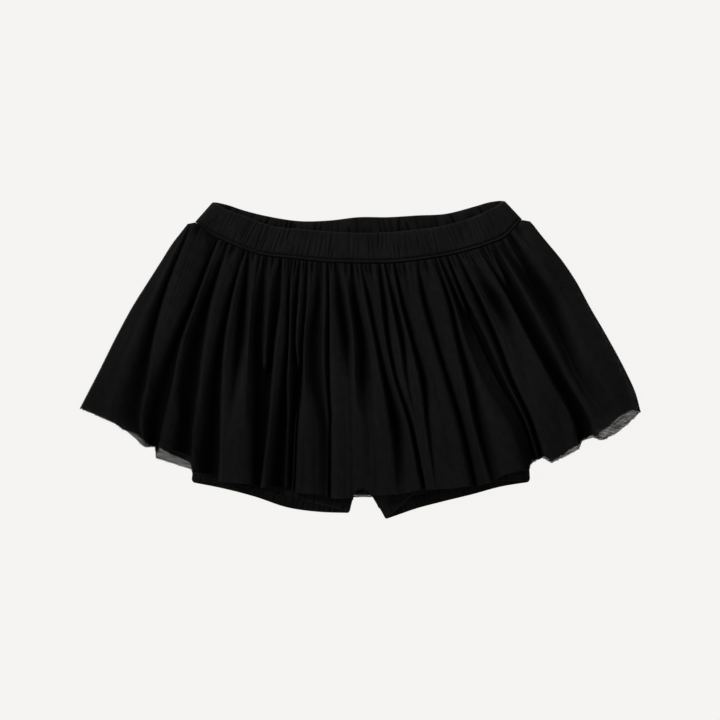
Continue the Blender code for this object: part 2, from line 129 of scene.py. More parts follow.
EDGE_ROWS = [EdgeRow(*row) for row in (
    (0.0, -121.0, 119.5), (0.02, -123.0, 121.8), (0.05, -126.0, 124.8), (0.1, -131.0, 130.2),
    (0.2, -139.2, 141.2), (0.3, -147.4, 150.3), (0.45, -159.5, 161.2), (0.6, -170.0, 172.8),
    (0.8, -182.8, 187.0), (0.9, -189.4, 193.0), (1.0, -196.0, 196.6),
)]


class Valley(NamedTuple):
    """A valley between two ridges of the front net.

    Its X, width and depth are given at the seam, at the four LEVELS and at the hem. The depth is a
    share of the ridges' height, 0 where it has run out. steep is the wall that stands upright: -1
    for the left one, 1 for the right one, 0 for neither.
    """

    x: tuple[float, ...]
    width: tuple[float, ...]
    depth: tuple[float, ...]
    steep: int


LEVELS = (42.0, 14.0, -14.0, -42.0)
VALLEYS = [Valley(*row) for row in (
    ((-118.3, -139.3, -147.0, -152.6, -157.5, -155.4), (1.4, 2.8, 4.2, 7.0, 8.4, 7.0),
     (0.6, 0.75, 0.75, 0.65, 0.5, 0.3), 1),
    ((-100.1, -116.2, -127.0, -134.4, -141.4, -144.2), (1.4, 2.1, 3.5, 7.0, 7.0, 5.6),
     (0.8, 0.9, 1.0, 1.0, 1.0, 1.0), 1),
    ((-92.4, -106.0, -112.7, -117.6, -119.7, -121.8), (1.4, 3.5, 7.0, 9.8, 4.9, 8.4),
     (0.8, 1.0, 1.0, 1.0, 1.0, 1.0), 1),
    ((-81.2, -91.0, -96.6, -99.7, -101.1, -102.9), (1.4, 2.1, 3.5, 5.6, 6.3, 8.4),
     (0.8, 0.9, 1.0, 1.0, 1.0, 1.0), 1),
    ((-77.0, -81.2, -83.6, -86.8, -89.6, -91.0), (1.4, 2.8, 3.5, 2.8, 1.4, 1.4),
     (0.8, 1.0, 0.9, 0.5, 0.0, 0.0), 0),
    ((-65.8, -69.0, -70.7, -69.3, -69.6, -72.1), (1.4, 3.5, 4.2, 5.6, 4.2, 1.4),
     (0.8, 1.0, 1.0, 1.0, 1.0, 0.8), 0),
    ((-55.3, -57.7, -61.2, -64.4, -65.8, -70.3), (2.1, 4.9, 3.5, 5.6, 3.5, 1.4),
     (0.8, 1.0, 1.0, 1.0, 1.0, 0.8), 1),
    ((-48.3, -49.7, -50.4, -52.2, -52.8, -54.8), (1.4, 1.4, 1.4, 2.8, 4.9, 6.6),
     (0.7, 0.8, 0.7, 0.9, 1.0, 1.0), 1),
    ((-42.0, -44.4, -45.8, -44.1, -46.2, -48.3), (1.4, 2.1, 1.4, 4.9, 2.8, 1.4),
     (0.8, 0.9, 0.8, 1.0, 0.9, 0.9), 1),
    ((-37.1, -38.1, -40.2, -41.3, -43.4, -45.8), (1.4, 1.4, 1.4, 2.1, 1.0, 1.0),
     (0.7, 0.8, 0.7, 1.0, 0.6, 0.4), 1),
    ((-28.0, -28.7, -31.8, -30.1, -24.8, -23.8), (2.1, 3.5, 4.9, 5.6, 4.2, 3.5),
     (0.8, 0.85, 0.75, 0.7, 0.6, 0.3), 0),
    ((-22.0, -22.0, -22.0, -22.0, -21.0, -21.3), (1.0, 1.0, 1.0, 1.0, 1.0, 1.0),
     (0.7, 0.8, 0.8, 0.8, 0.7, 0.9), 1),
    ((-16.1, -13.3, -9.4, -7.0, -6.3, -5.6), (1.4, 3.5, 2.8, 2.8, 1.4, 1.4),
     (0.8, 1.0, 0.9, 0.1, 0.0, 0.0), 0),
    ((-5.6, -3.5, 1.0, 2.1, 5.6, 7.7), (1.4, 2.8, 3.5, 5.6, 2.8, 1.4),
     (0.8, 1.0, 1.0, 0.7, 0.25, 0.0), 0),
    ((0.7, 6.0, 11.5, 17.5, 23.8, 28.7), (1.4, 2.1, 1.8, 2.8, 5.6, 4.2),
     (0.7, 0.9, 0.8, 0.9, 0.9, 0.1), -1),
    ((13.3, 16.4, 19.6, 25.2, 34.3, 44.8), (2.1, 2.8, 2.1, 1.4, 2.1, 2.1),
     (0.9, 1.0, 0.8, 0.6, 0.8, 0.9), -1),
    ((17.5, 23.1, 29.0, 32.9, 39.2, 47.6), (1.4, 2.1, 2.1, 1.4, 1.4, 1.4),
     (0.8, 0.9, 0.9, 0.3, 0.0, 0.0), -1),
    ((24.5, 29.0, 36.4, 43.7, 46.9, 53.9), (1.4, 2.1, 2.1, 2.8, 2.1, 1.4),
     (0.9, 1.0, 0.9, 1.0, 0.5, 0.0), -1),
    ((39.9, 44.8, 52.5, 60.9, 69.3, 79.8), (1.4, 2.8, 2.1, 2.4, 2.1, 1.4),
     (0.8, 1.0, 1.0, 1.0, 1.0, 1.0), -1),
    ((51.8, 62.3, 68.6, 75.9, 81.5, 93.1), (1.4, 2.1, 2.1, 3.5, 3.5, 2.8),
     (0.8, 0.9, 0.9, 1.0, 0.8, 0.4), -1),
    ((56.7, 68.2, 80.5, 93.8, 110.6, 119.7), (1.4, 2.1, 4.2, 4.2, 2.8, 2.8),
     (0.8, 0.9, 0.55, 0.45, 0.5, 0.6), 0),
    ((60.9, 72.8, 84.7, 98.0, 113.0, 122.6), (1.4, 2.8, 7.6, 7.0, 5.0, 5.0),
     (0.8, 1.0, 0.85, 0.75, 0.8, 0.9), 1),
    ((67.9, 83.3, 95.6, 106.0, 118.6, 127.0), (1.4, 2.1, 1.8, 1.6, 1.4, 1.4),
     (0.9, 1.0, 0.9, 0.75, 0.9, 1.0), 1),
    ((74.9, 94.8, 109.2, 119.7, 133.0, 141.4), (1.4, 4.2, 2.1, 1.4, 1.4, 1.4),
     (0.2, 1.0, 0.2, 0.0, 0.0, 0.0), 0),
    ((84.0, 105.7, 120.4, 135.8, 150.5, 153.3), (1.4, 2.1, 2.1, 2.1, 2.1, 2.1),
     (0.5, 0.9, 1.0, 1.0, 1.0, 1.0), -1),
    ((92.2, 110.0, 124.2, 138.6, 153.3, 156.1), (2.8, 5.6, 5.6, 5.6, 5.6, 4.9),
     (0.8, 1.0, 1.0, 1.0, 1.0, 1.0), -1),
    ((97.3, 125.3, 140.0, 152.6, 168.7, 174.3), (2.1, 4.2, 2.8, 2.1, 1.4, 1.4),
     (0.8, 0.75, 0.5, 0.3, 0.0, 0.0), 0),
    ((103.6, 130.9, 143.5, 156.8, 172.2, 177.8), (2.1, 7.0, 4.9, 3.5, 2.1, 1.4),
     (0.8, 0.9, 0.6, 0.35, 0.0, 0.0), 0),
)]


class ShortFold(NamedTuple):
    """A narrow crease that runs down from the band and soon runs out."""

    seam: float
    length: float
    width: float


SHORT_FOLDS = [ShortFold(*row) for row in (
    (-112.5, 15.0, 1.2), (-106.5, 8.0, 0.9), (-88.5, 15.0, 1.1), (-70.0, 25.0, 1.0),
    (-60.5, 16.0, 0.9), (-33.0, 18.0, 1.0), (-10.5, 20.0, 1.0), (7.0, 22.0, 1.1), (30.5, 29.0, 1.2),
    (45.5, 21.0, 1.1), (85.5, 20.0, 1.0), (88.5, 26.0, 1.1), (109.0, 16.0, 1.4),
)]


class HemRow(NamedTuple):
    """A point of the front net's hem."""

    x: float
    y: float


FRONT_HEM = [HemRow(*row) for row in (
    (-196.0, -33.6), (-193.2, -35.0), (-187.6, -37.0), (-182.0, -39.8), (-176.4, -41.9),
    (-170.8, -44.7), (-165.2, -49.0), (-159.6, -50.4), (-155.4, -52.5), (-151.2, -56.7),
    (-147.0, -60.2), (-143.0, -61.4), (-142.0, -66.5), (-139.6, -61.6), (-134.4, -63.7),
    (-130.2, -63.7), (-126.0, -65.1), (-120.5, -66.6), (-118.4, -68.5), (-117.0, -79.0),
    (-100.4, -79.8), (-98.7, -85.0), (-73.5, -87.1), (-70.7, -89.6), (-60.2, -88.2), (-49.0, -88.9),
    (-47.6, -92.4), (-24.5, -94.5), (-21.4, -96.6), (-6.0, -96.6), (-5.0, -95.4), (-2.8, -91.4),
    (2.8, -89.2), (5.0, -91.0), (7.4, -94.6), (8.4, -94.9), (31.5, -93.1), (43.0, -90.3),
    (63.0, -90.0), (78.7, -87.8), (80.5, -88.7), (92.2, -85.1), (101.1, -79.8), (117.6, -77.0),
    (119.7, -70.7), (126.7, -68.6), (128.8, -67.2), (133.7, -71.4), (137.2, -68.6), (142.1, -66.2),
    (147.0, -62.3), (152.6, -58.8), (155.4, -56.0), (161.7, -52.5), (165.2, -53.9), (168.0, -49.7),
    (173.6, -46.9), (177.8, -42.7), (182.0, -39.2), (186.2, -37.1), (190.4, -35.3), (196.3, -36.4),
)]


class LoftRow(NamedTuple):
    """How high the ridges stand over the valleys, at a share of the way down."""

    down: float
    height: float


LOFT_ROWS = [LoftRow(*row) for row in (
    (0.0, 0.7), (0.06, 3.2), (0.15, 5.6), (0.4, 7.6), (0.7, 8.6), (1.0, 9.0),
)]


class DropRow(NamedTuple):
    """How far the other layers' hems hang below the plain arc, along X."""

    x: float
    top_back: float
    under_front: float
    under_back: float


DROP_ROWS = [DropRow(*row) for row in (
    (-196.0, 0.0, -3.0, -5.0), (-182.0, -2.9, -5.0, -6.5), (-168.0, -4.7, -6.5, -7.0),
    (-162.4, -3.6, -6.5, -6.5), (-156.8, -1.8, -6.0, -6.0), (-153.0, 0.5, -5.0, -6.0),
    (-149.5, 0.5, -3.5, -6.0), (-143.7, -3.0, -5.5, -6.0), (-142.5, 4.6, -5.5, -4.0),
    (-134.4, 3.5, -5.8, -3.0), (-126.0, 2.6, -7.5, -3.0), (-118.0, 2.0, -1.5, -3.0),
    (-100.0, 0.0, -1.0, -3.0), (-60.0, -2.5, -4.0, -4.0), (-20.0, 0.0, -2.5, -2.0),
    (-8.0, -0.3, -10.0, -2.1), (8.0, -0.3, -10.0, -2.1), (20.0, 0.0, -4.5, -2.0),
    (60.0, -2.5, -4.0, -4.0), (100.0, -2.5, -3.0, -4.0), (118.0, -0.4, -4.0, -5.0),
    (123.9, -2.3, -5.0, -6.0), (128.1, -2.0, -5.0, -6.0), (134.4, 4.2, 1.0, -3.0),
    (153.3, 3.4, 0.0, -3.0), (155.4, -1.0, -3.0, -6.0), (163.0, 0.2, -3.0, -5.0),
    (168.0, 5.0, -3.0, -4.0), (171.0, 6.6, -3.0, -4.0), (178.5, 7.0, -4.5, -5.0),
    (186.9, 5.9, -5.0, -6.0), (196.3, 2.8, -4.0, -7.0),
)]


class LegRow(NamedTuple):
    """Lower edges of a leg hem along Y, at a place from its left fold (-1) to its right fold (1)."""

    along: float
    back: float
    front: float


LEFT_LEG_ROWS = [LegRow(*row) for row in (
    (-1.0, -85.6, -84.8), (-0.6, -90.0, -86.5), (-0.2, -95.8, -90.5), (0.2, -103.2, -96.2),
    (0.6, -106.4, -100.8), (1.0, -107.2, -106.4),
)]
RIGHT_LEG_ROWS = [LegRow(*row) for row in (
    (-1.0, -111.8, -111.2), (-0.93, -110.6, -109.3), (-0.78, -107.9, -102.6), (-0.6, -104.7, -94.0),
    (-0.2, -99.2, -89.6), (0.2, -94.2, -87.5), (0.6, -88.7, -84.6), (1.0, -85.4, -84.4),
)]
# ---- Curves ------------------------------------------------------------------------------

WANDER_WAVES = (1.0, 1.7, 2.9)
WANDER_PEAK = 1.9


def column(rows: Sequence[NamedTuple], name: str) -> np.ndarray:
    """One named column of a table."""
    return np.array([getattr(row, name) for row in rows], float)


def through(x: np.ndarray | float, xs: np.ndarray, ys: np.ndarray) -> np.ndarray:
    """A smooth curve through a table's points.

    Args:
        x: where to read it.
        xs: the points' places, rising.
        ys: the points' values.

    Returns:
        The values at x.
    """
    x, xs, ys = (np.asarray(v, float) for v in (x, xs, ys))
    slope = np.gradient(ys, xs)
    i = np.clip(np.searchsorted(xs, x) - 1, 0, len(xs) - 2)
    step = xs[i + 1] - xs[i]
    t = np.clip((x - xs[i]) / step, 0.0, 1.0)
    start = (1 + 2 * t) * (1 - t) ** 2 * ys[i] + t * (1 - t) ** 2 * step * slope[i]
    end = t**2 * (3 - 2 * t) * ys[i + 1] + t**2 * (t - 1) * step * slope[i + 1]
    return start + end


def ease(t: np.ndarray | float) -> np.ndarray:
    """Smooth step from 0 to 1."""
    t = np.clip(t, 0.0, 1.0)
    return t * t * (3 - 2 * t)


def mix(low: np.ndarray | float, high: np.ndarray | float, share: np.ndarray | float) -> np.ndarray:
    """The value that lies this share of the way from low to high."""
    return low * (1 - share) + high * share


def bell(away: np.ndarray) -> np.ndarray:
    """A rounded hump, 1 in its middle, at a distance given in its half widths."""
    return np.exp(-(away**2))


def corner_cut(points: np.ndarray, times: int) -> np.ndarray:
    """Rounds an open line by cutting its corners, with its ends kept.

    Args:
        points: one row for each point.
        times: how often the corners are cut.

    Returns:
        The rounded line, with nearly twice the points for each time.
    """
    for _ in range(times):
        near = 0.75 * points[:-1] + 0.25 * points[1:]
        far = 0.25 * points[:-1] + 0.75 * points[1:]
        inner = np.stack([near, far], axis=1).reshape(-1, points.shape[1])
        points = np.concatenate([points[:1], inner, points[-1:]])
    return points


def run_length(points: np.ndarray, axis: int) -> np.ndarray:
    """Length along a grid's rows or columns, from its start.

    Args:
        points: a grid of points, [row, column, coordinate].
        axis: 0 to measure down the columns, 1 to measure along the rows.

    Returns:
        The length at each point of the grid.
    """
    steps = np.linalg.norm(np.diff(points, axis=axis), axis=-1)
    zero = np.zeros_like(np.take(points[..., 0], [0], axis=axis))
    return np.cumsum(np.concatenate([zero, steps], axis=axis), axis=axis)


def wander(place: np.ndarray, length: float, seed: int) -> np.ndarray:
    """A slow, uneven wave between about -1 and 1.

    Args:
        place: where to read it.
        length: its usual wavelength.
        seed: picks one of many such waves.

    Returns:
        The wave's values.
    """
    rng = np.random.default_rng(seed)
    total = np.zeros_like(np.asarray(place, float))
    for share in WANDER_WAVES:
        total += np.sin(2 * np.pi * place * share / length + rng.uniform(0, 2 * np.pi)) / share
    return total / WANDER_PEAK


@dataclass(frozen=True)
class Wrinkles:
    """Uneven creases that run down a gathered strip, as grooves between soft ruches.

    spacing, width and depth are each a least and a most; reach is how much of the way down a crease
    runs, slant how far aside it leans from top to bottom, and fade how soon it runs out at its ends.
    """

    spacing: tuple[float, float]
    width: tuple[float, float]
    depth: tuple[float, float]
    reach: tuple[float, float]
    slant: float
    seed: int
    fade: float = 0.12

    def depths(self, along: np.ndarray, down: np.ndarray) -> np.ndarray:
        """How deep the creases are.

        Args:
            along: place along the strip, in millimetres.
            down: share of the way down, alike in shape.

        Returns:
            The depth at each place, 0 or more.
        """
        rng = np.random.default_rng(self.seed)
        total = np.zeros_like(along)
        centre = float(along.min())
        while centre < along.max():
            centre += rng.uniform(*self.spacing)
            width, depth = rng.uniform(*self.width), rng.uniform(*self.depth)
            reach = rng.uniform(*self.reach)
            start = rng.choice([0.0, 1.0 - reach, rng.uniform(0.0, 1.0 - reach)])
            lean = rng.uniform(-self.slant, self.slant)
            begun = ease((down - start + self.fade) / self.fade)
            inside = begun * ease((start + reach - down) / self.fade + 1)
            away = (along - centre - lean * (down - 0.5)) / width
            total = np.maximum(total, depth * inside * bell(away))
        return total


# ---- Meshes ------------------------------------------------------------------------------

CRISP_ANGLE = math.radians(70)
TINY = 1e-9


def new_object(
    name: str, points: np.ndarray, faces: np.ndarray, uv: np.ndarray, material: Material
) -> Object:
    """Makes a smooth mesh object from quads.

    Args:
        name: the object's name.
        points: its points, in millimetres.
        faces: four point numbers a row.
        uv: one UV for each face corner, in millimetres.
        material: its finish.

    Returns:
        The new object, in the scene.
    """
    mesh = bpy.data.meshes.new(name)
    mesh.from_pydata((points * MM).tolist(), [], faces.tolist())
    layer = mesh.uv_layers.new(name=CLOTH_UV)
    layer.uv.foreach_set("vector", (uv * MM).astype(np.float32).ravel())
    mesh.materials.append(material)
    mesh.shade_smooth()
    return in_scene(name, mesh)


def in_scene(name: str, data: bpy.types.ID) -> Object:
    """Makes an object of a mesh, lamp or camera and links it to the scene.

    Args:
        name: the object's name.
        data: what it holds.

    Returns:
        The new object.
    """
    obj = bpy.data.objects.new(name, data)
    bpy.context.scene.collection.objects.link(obj)
    return obj


def normals(points: np.ndarray) -> np.ndarray:
    """Unit normals of a grid of points, upwards where rows run down the garment.

    Args:
        points: [row, column, xyz].

    Returns:
        A normal for each point.
    """
    down = np.gradient(points, axis=0)
    across = np.gradient(points, axis=1)
    normal = np.cross(down, across)
    return normal / np.maximum(np.linalg.norm(normal, axis=-1, keepdims=True), TINY)


def thin_shell(
    name: str, points: np.ndarray, uv: np.ndarray, thickness: float, material: Material
) -> Object:
    """A closed thin wall round a grid of points, with crisp edges.

    Args:
        name: the object's name.
        points: the middle of the wall, [row, column, xyz], rows running down the garment.
        uv: the cloth's own places, [row, column, uv].
        thickness: of the wall.
        material: its finish.

    Returns:
        The new object.
    """
    rows, columns = points.shape[:2]
    offset = normals(points) * thickness / 2
    size = rows * columns
    grid = np.arange(size).reshape(rows, columns)
    top = np.stack([grid[:-1, :-1], grid[1:, :-1], grid[1:, 1:], grid[:-1, 1:]], axis=-1).reshape(-1, 4)
    rim = np.concatenate([grid[0], grid[1:, -1], grid[-1, -2::-1], grid[-2:0:-1, 0]])
    after = np.roll(rim, -1)
    edge = np.stack([rim, after, after + size, rim + size], axis=-1)
    faces = np.concatenate([top, top[:, ::-1] + size, edge])
    both = np.concatenate([(points + offset).reshape(-1, 3), (points - offset).reshape(-1, 3)])
    flat_uv = np.tile(uv.reshape(-1, 2), (2, 1))
    obj = new_object(name, both, faces, flat_uv[faces].reshape(-1, 2), material)
    obj.data.set_sharp_from_angle(angle=CRISP_ANGLE)
    return obj


def set_painted_shade(obj: Object, painted_shade: np.ndarray) -> None:
    """Keeps on each point of a piece how much painted shade its colour gets, 0 to 1."""
    shade = obj.data.attributes.new(PAINTED_SHADE, "FLOAT", "POINT")
    shade.data.foreach_set("value", np.clip(painted_shade, 0, 1).ravel().astype(np.float32))


# ---- Node trees --------------------------------------------------------------------------


class NodeTree:
    """A tree of nodes that are added and joined one after another."""

    def __init__(self, tree: bpy.types.NodeTree) -> None:
        """Keeps the tree that is filled."""
        self.tree = tree

    def node(self, kind: str, inputs: dict | None = None, **settings: object) -> Node:
        """Adds a node.

        Args:
            kind: its type.
            inputs: values or sockets for its inputs, by name or number.
            settings: its own settings.

        Returns:
            The node.
        """
        made = self.tree.nodes.new(kind)
        for key, value in settings.items():
            setattr(made, key, value)
        for key, value in (inputs or {}).items():
            if isinstance(value, NodeSocket):
                self.tree.links.new(value, made.inputs[key])
            else:
                made.inputs[key].default_value = value
        return made

    def out(self, kind: str, inputs: dict | None = None, **settings: object) -> NodeSocket:
        """Adds a node, as node does, and gives its first output."""
        return self.node(kind, inputs, **settings).outputs[0]

    def math(self, operation: str, *values: object) -> NodeSocket:
        """Adds a Math node and gives its result."""
        return self.out("ShaderNodeMath", dict(enumerate(values)), operation=operation)


class Wiring(NodeTree):
    """The nodes of one material."""

    def __init__(self, name: str) -> None:
        """Starts an empty material with its output.

        Args:
            name: the material's name.
        """
        self.material = bpy.data.materials.new(name)
        self.material.use_nodes = True
        super().__init__(self.material.node_tree)
        self.tree.nodes.clear()
        self.output = self.tree.nodes.new("ShaderNodeOutputMaterial")

    def spread(self, value: NodeSocket, old: tuple, new: tuple) -> NodeSocket:
        """Maps a value smoothly from one range to another.

        Args:
            value: what is mapped.
            old: the range that it comes from.
            new: the range that it goes to.

        Returns:
            The mapped value.
        """
        limits = {"From Min": old[0], "From Max": old[1], "To Min": new[0], "To Max": new[1]}
        return self.out("ShaderNodeMapRange", {"Value": value, **limits}, interpolation_type="SMOOTHSTEP")

    def uv(self) -> NodeSocket:
        """The piece's own UV."""
        return self.out("ShaderNodeUVMap", uv_map=CLOTH_UV)

    def mapped(self, vector: NodeSocket, **change: tuple) -> NodeSocket:
        """Turns or scales a vector by a Mapping node."""
        return self.out("ShaderNodeMapping", {"Vector": vector, **change})

    def parts(self, vector: NodeSocket) -> tuple[NodeSocket, NodeSocket]:
        """X and Y of a vector."""
        return tuple(self.node("ShaderNodeSeparateXYZ", {0: vector}).outputs[:2])

    def noise(self, vector: NodeSocket, scale: float, detail: float) -> NodeSocket:
        """Uneven noise, about 0.5 in the middle."""
        return self.out("ShaderNodeTexNoise", {"Vector": vector, "Scale": scale, "Detail": detail})

    def hollow_left(self, reach: float, shade: float) -> NodeSocket:
        """What painted shade leaves of the colour: 1 where none is painted, falling to shade at reach."""
        painted_shade = self.node("ShaderNodeAttribute", attribute_name=PAINTED_SHADE).outputs["Fac"]
        return self.spread(painted_shade, (0.0, reach), (1.0, shade))

    def bump(self, height: NodeSocket, strength: float, depth_m: float) -> NodeSocket:
        """Low relief by a Bump node."""
        return self.out("ShaderNodeBump", {"Height": height, "Strength": strength, "Distance": depth_m})

    def tinted(self, colour: tuple, shade: NodeSocket) -> NodeSocket:
        """A colour times a shade."""
        return self.out("ShaderNodeVectorMath", {0: colour, 1: shade}, operation="MULTIPLY")

    def finish(self, inputs: dict) -> Material:
        """Adds the shader, joins it to the output and gives the material."""
        self.tree.links.new(self.out("ShaderNodeBsdfPrincipled", inputs), self.output.inputs["Surface"])
        return self.material


class Recipe(NodeTree):
    """A Geometry Nodes tree with named inputs, run once on paths to make a plain mesh."""

    def __init__(self, name: str, sizes: dict[str, float]) -> None:
        """Starts the tree.

        Args:
            name: the tree's name.
            sizes: its named inputs and their values.
        """
        super().__init__(bpy.data.node_groups.new(name, "GeometryNodeTree"))
        self.sizes = sizes
        face = self.tree.interface
        face.new_socket("Geometry", in_out="INPUT", socket_type="NodeSocketGeometry")
        for size, value in sizes.items():
            kind = "NodeSocketInt" if isinstance(value, int) else "NodeSocketFloat"
            face.new_socket(size, in_out="INPUT", socket_type=kind)
        face.new_socket("Geometry", in_out="OUTPUT", socket_type="NodeSocketGeometry")
        self.start = self.tree.nodes.new("NodeGroupInput")
        self.end = self.tree.nodes.new("NodeGroupOutput")

    def size(self, name: str) -> NodeSocket:
        """The socket of a named input."""
        return self.start.outputs[name]

    def combine(self, x: object = 0.0, y: object = 0.0, z: object = 0.0) -> NodeSocket:
        """A vector from its three parts."""
        return self.out("ShaderNodeCombineXYZ", {0: x, 1: y, 2: z})

    def random(self, low: object, high: object, seed: object) -> NodeSocket:
        """A number between low and high, another one for each point."""
        limits = {2: low, 3: high, "Seed": seed}
        return self.node("FunctionNodeRandomValue", limits, data_type="FLOAT").outputs[1]

    def pointed(self, vector: NodeSocket, axis: str) -> NodeSocket:
        """The turn that points an axis along a vector."""
        return self.out("FunctionNodeAlignRotationToVector", {"Vector": vector}, axis=axis)

    def repeat(
        self, spacing: str, thing: NodeSocket, rotation: NodeSocket, scale: NodeSocket, material: Material
    ) -> None:
        """Puts a thing at even steps along the paths and ends the tree.

        Args:
            spacing: the named input for the steps.
            thing: what is repeated.
            rotation: its turn at each place.
            scale: its scale at each place.
            material: its finish.
        """
        curve = self.out("GeometryNodeMeshToCurve", {0: self.size("Geometry")})
        steps = {"Curve": curve, "Length": self.size(spacing)}
        spots = self.out("GeometryNodeResampleCurve", steps, mode="LENGTH")
        instances = self.out("GeometryNodeInstanceOnPoints", {
            "Points": spots, "Instance": thing, "Rotation": rotation, "Scale": scale,
        })
        real = self.out("GeometryNodeRealizeInstances", {0: instances})
        smooth = self.out("GeometryNodeSetShadeSmooth", {0: real})
        done = self.out("GeometryNodeSetMaterial", {0: smooth, "Material": material})
        self.tree.links.new(done, self.end.inputs[0])

    def run(self, name: str, paths: Sequence[np.ndarray], outward: Sequence[np.ndarray]) -> Object:
        """Runs the tree on open paths and keeps the result as a plain mesh.

        Args:
            name: the new object's name.
            paths: points of each path, in millimetres.
            outward: for each path, the direction away from the cloth at each point.

        Returns:
            The new object, with no modifier.
        """
        points = np.concatenate(paths) * MM
        starts = np.cumsum([0] + [len(path) for path in paths])
        edges = [(i, i + 1) for a, b in zip(starts, starts[1:]) for i in range(a, b - 1)]
        line = bpy.data.meshes.new(name + "_path")
        line.from_pydata(points.tolist(), edges, [])
        away = line.attributes.new(OUTWARD, "FLOAT_VECTOR", "POINT")
        away.data.foreach_set("vector", np.concatenate(outward).astype(np.float32).ravel())
        guide = in_scene(name + "_path", line)
        modifier = guide.modifiers.new("Recipe", "NODES")
        modifier.node_group = self.tree
        sockets = {s.name: s.identifier for s in self.tree.interface.items_tree if s.in_out == "INPUT"}
        for size, value in self.sizes.items():
            modifier[sockets[size]] = value
        graph = bpy.context.evaluated_depsgraph_get()
        mesh = bpy.data.meshes.new_from_object(guide.evaluated_get(graph))
        mesh.name = name
        bpy.data.objects.remove(guide)
        return in_scene(name, mesh)


# ---- Finishes ----------------------------------------------------------------------------

NOISE_RANGE = (0.3, 0.7)


@dataclass(frozen=True)
class NetFinish:
    """Soft sheer net: a fine diamond mesh with holes, with painted shade where it lies deep in a fold.

    pitch_m is the mesh's cell, with a hole at its middle and one at its corners; turn leans the mesh
    in the cloth, in degrees; deepest_painted_shade is what painted shade leaves of the colour at the
    foot of a fold, or 1 where the piece has none, and foot is the attribute's value there; hole_wear is
    how much the holes differ in size, in streaks along the hem; hole_alpha is how much the threads
    behind close each hole. wear, streak and cloud are each the scale and detail of a noise, and uneven
    the least and most that the last two leave of the colour.
    """

    name: str
    pitch_m: float
    hole_edge: tuple[float, float] = (0.45, 0.65)
    turn: float = 0.0
    deepest_painted_shade: float = 1.0
    hole_wear: float = 0.0
    hole_alpha: float = 0.0
    colour: tuple[float, float, float] = (0.0106, 0.0107, 0.0106)
    roughness: float = 0.8
    specular: float = 0.03
    sheen: float = 0.01
    sheen_roughness: float = 0.4
    relief: float = 0.12
    relief_m: float = -0.0001
    wear: tuple[float, float] = (700.0, 2.0)
    wear_stretch: tuple[float, float, float] = (0.2, 1.0, 1.0)
    streak: tuple[float, float] = (900.0, 2.0)
    streak_stretch: tuple[float, float, float] = (1.0, 0.1, 1.0)
    cloud: tuple[float, float] = (160.0, 4.0)
    foot: float = 0.9
    uneven: tuple[float, float] = (0.8, 1.2)

    def lattice(self, w: Wiring, vector: NodeSocket) -> NodeSocket:
        """The mesh as a height, from -1 to 1 with the holes at 1.

        Args:
            w: the material's nodes.
            vector: the cloth's UV.

        Returns:
            The height, with the holes' wear.
        """
        leaning = w.mapped(vector, Rotation=(0.0, 0.0, math.radians(self.turn)))
        cycle = 2 * math.pi / self.pitch_m
        waves = [w.math("COSINE", w.math("MULTIPLY", part, cycle)) for part in w.parts(leaning)]
        lattice = w.math("MULTIPLY", *waves)
        if self.hole_wear:
            wear = w.noise(w.mapped(vector, Scale=self.wear_stretch), *self.wear)
            worn = w.spread(wear, NOISE_RANGE, (-self.hole_wear, self.hole_wear))
            lattice = w.math("ADD", lattice, worn)
        return lattice

    def shaded(self, w: Wiring, vector: NodeSocket) -> NodeSocket:
        """The colour, with painted shade in folds, and a little uneven.

        Args:
            w: the material's nodes.
            vector: the cloth's UV.

        Returns:
            The colour.
        """
        left = w.hollow_left(self.foot, self.deepest_painted_shade)
        streak = w.noise(w.mapped(vector, Scale=self.streak_stretch), *self.streak)
        both = w.math("ADD", streak, w.noise(vector, *self.cloud))
        uneven = w.spread(both, (2 * NOISE_RANGE[0], 2 * NOISE_RANGE[1]), self.uneven)
        return w.tinted(self.colour, w.math("MULTIPLY", left, uneven))

    def material(self) -> Material:
        """Makes the material.

        Returns:
            The material.
        """
        w = Wiring(self.name)
        vector = w.uv()
        lattice = self.lattice(w, vector)
        return w.finish({
            "Base Color": self.shaded(w, vector) if self.deepest_painted_shade < 1 else (*self.colour, 1.0),
            "Roughness": self.roughness,
            "Specular IOR Level": self.specular,
            "Sheen Weight": self.sheen,
            "Sheen Roughness": self.sheen_roughness,
            "Alpha": w.spread(lattice, self.hole_edge, (1.0, self.hole_alpha)),
            "Normal": w.bump(lattice, self.relief, self.relief_m),
        })


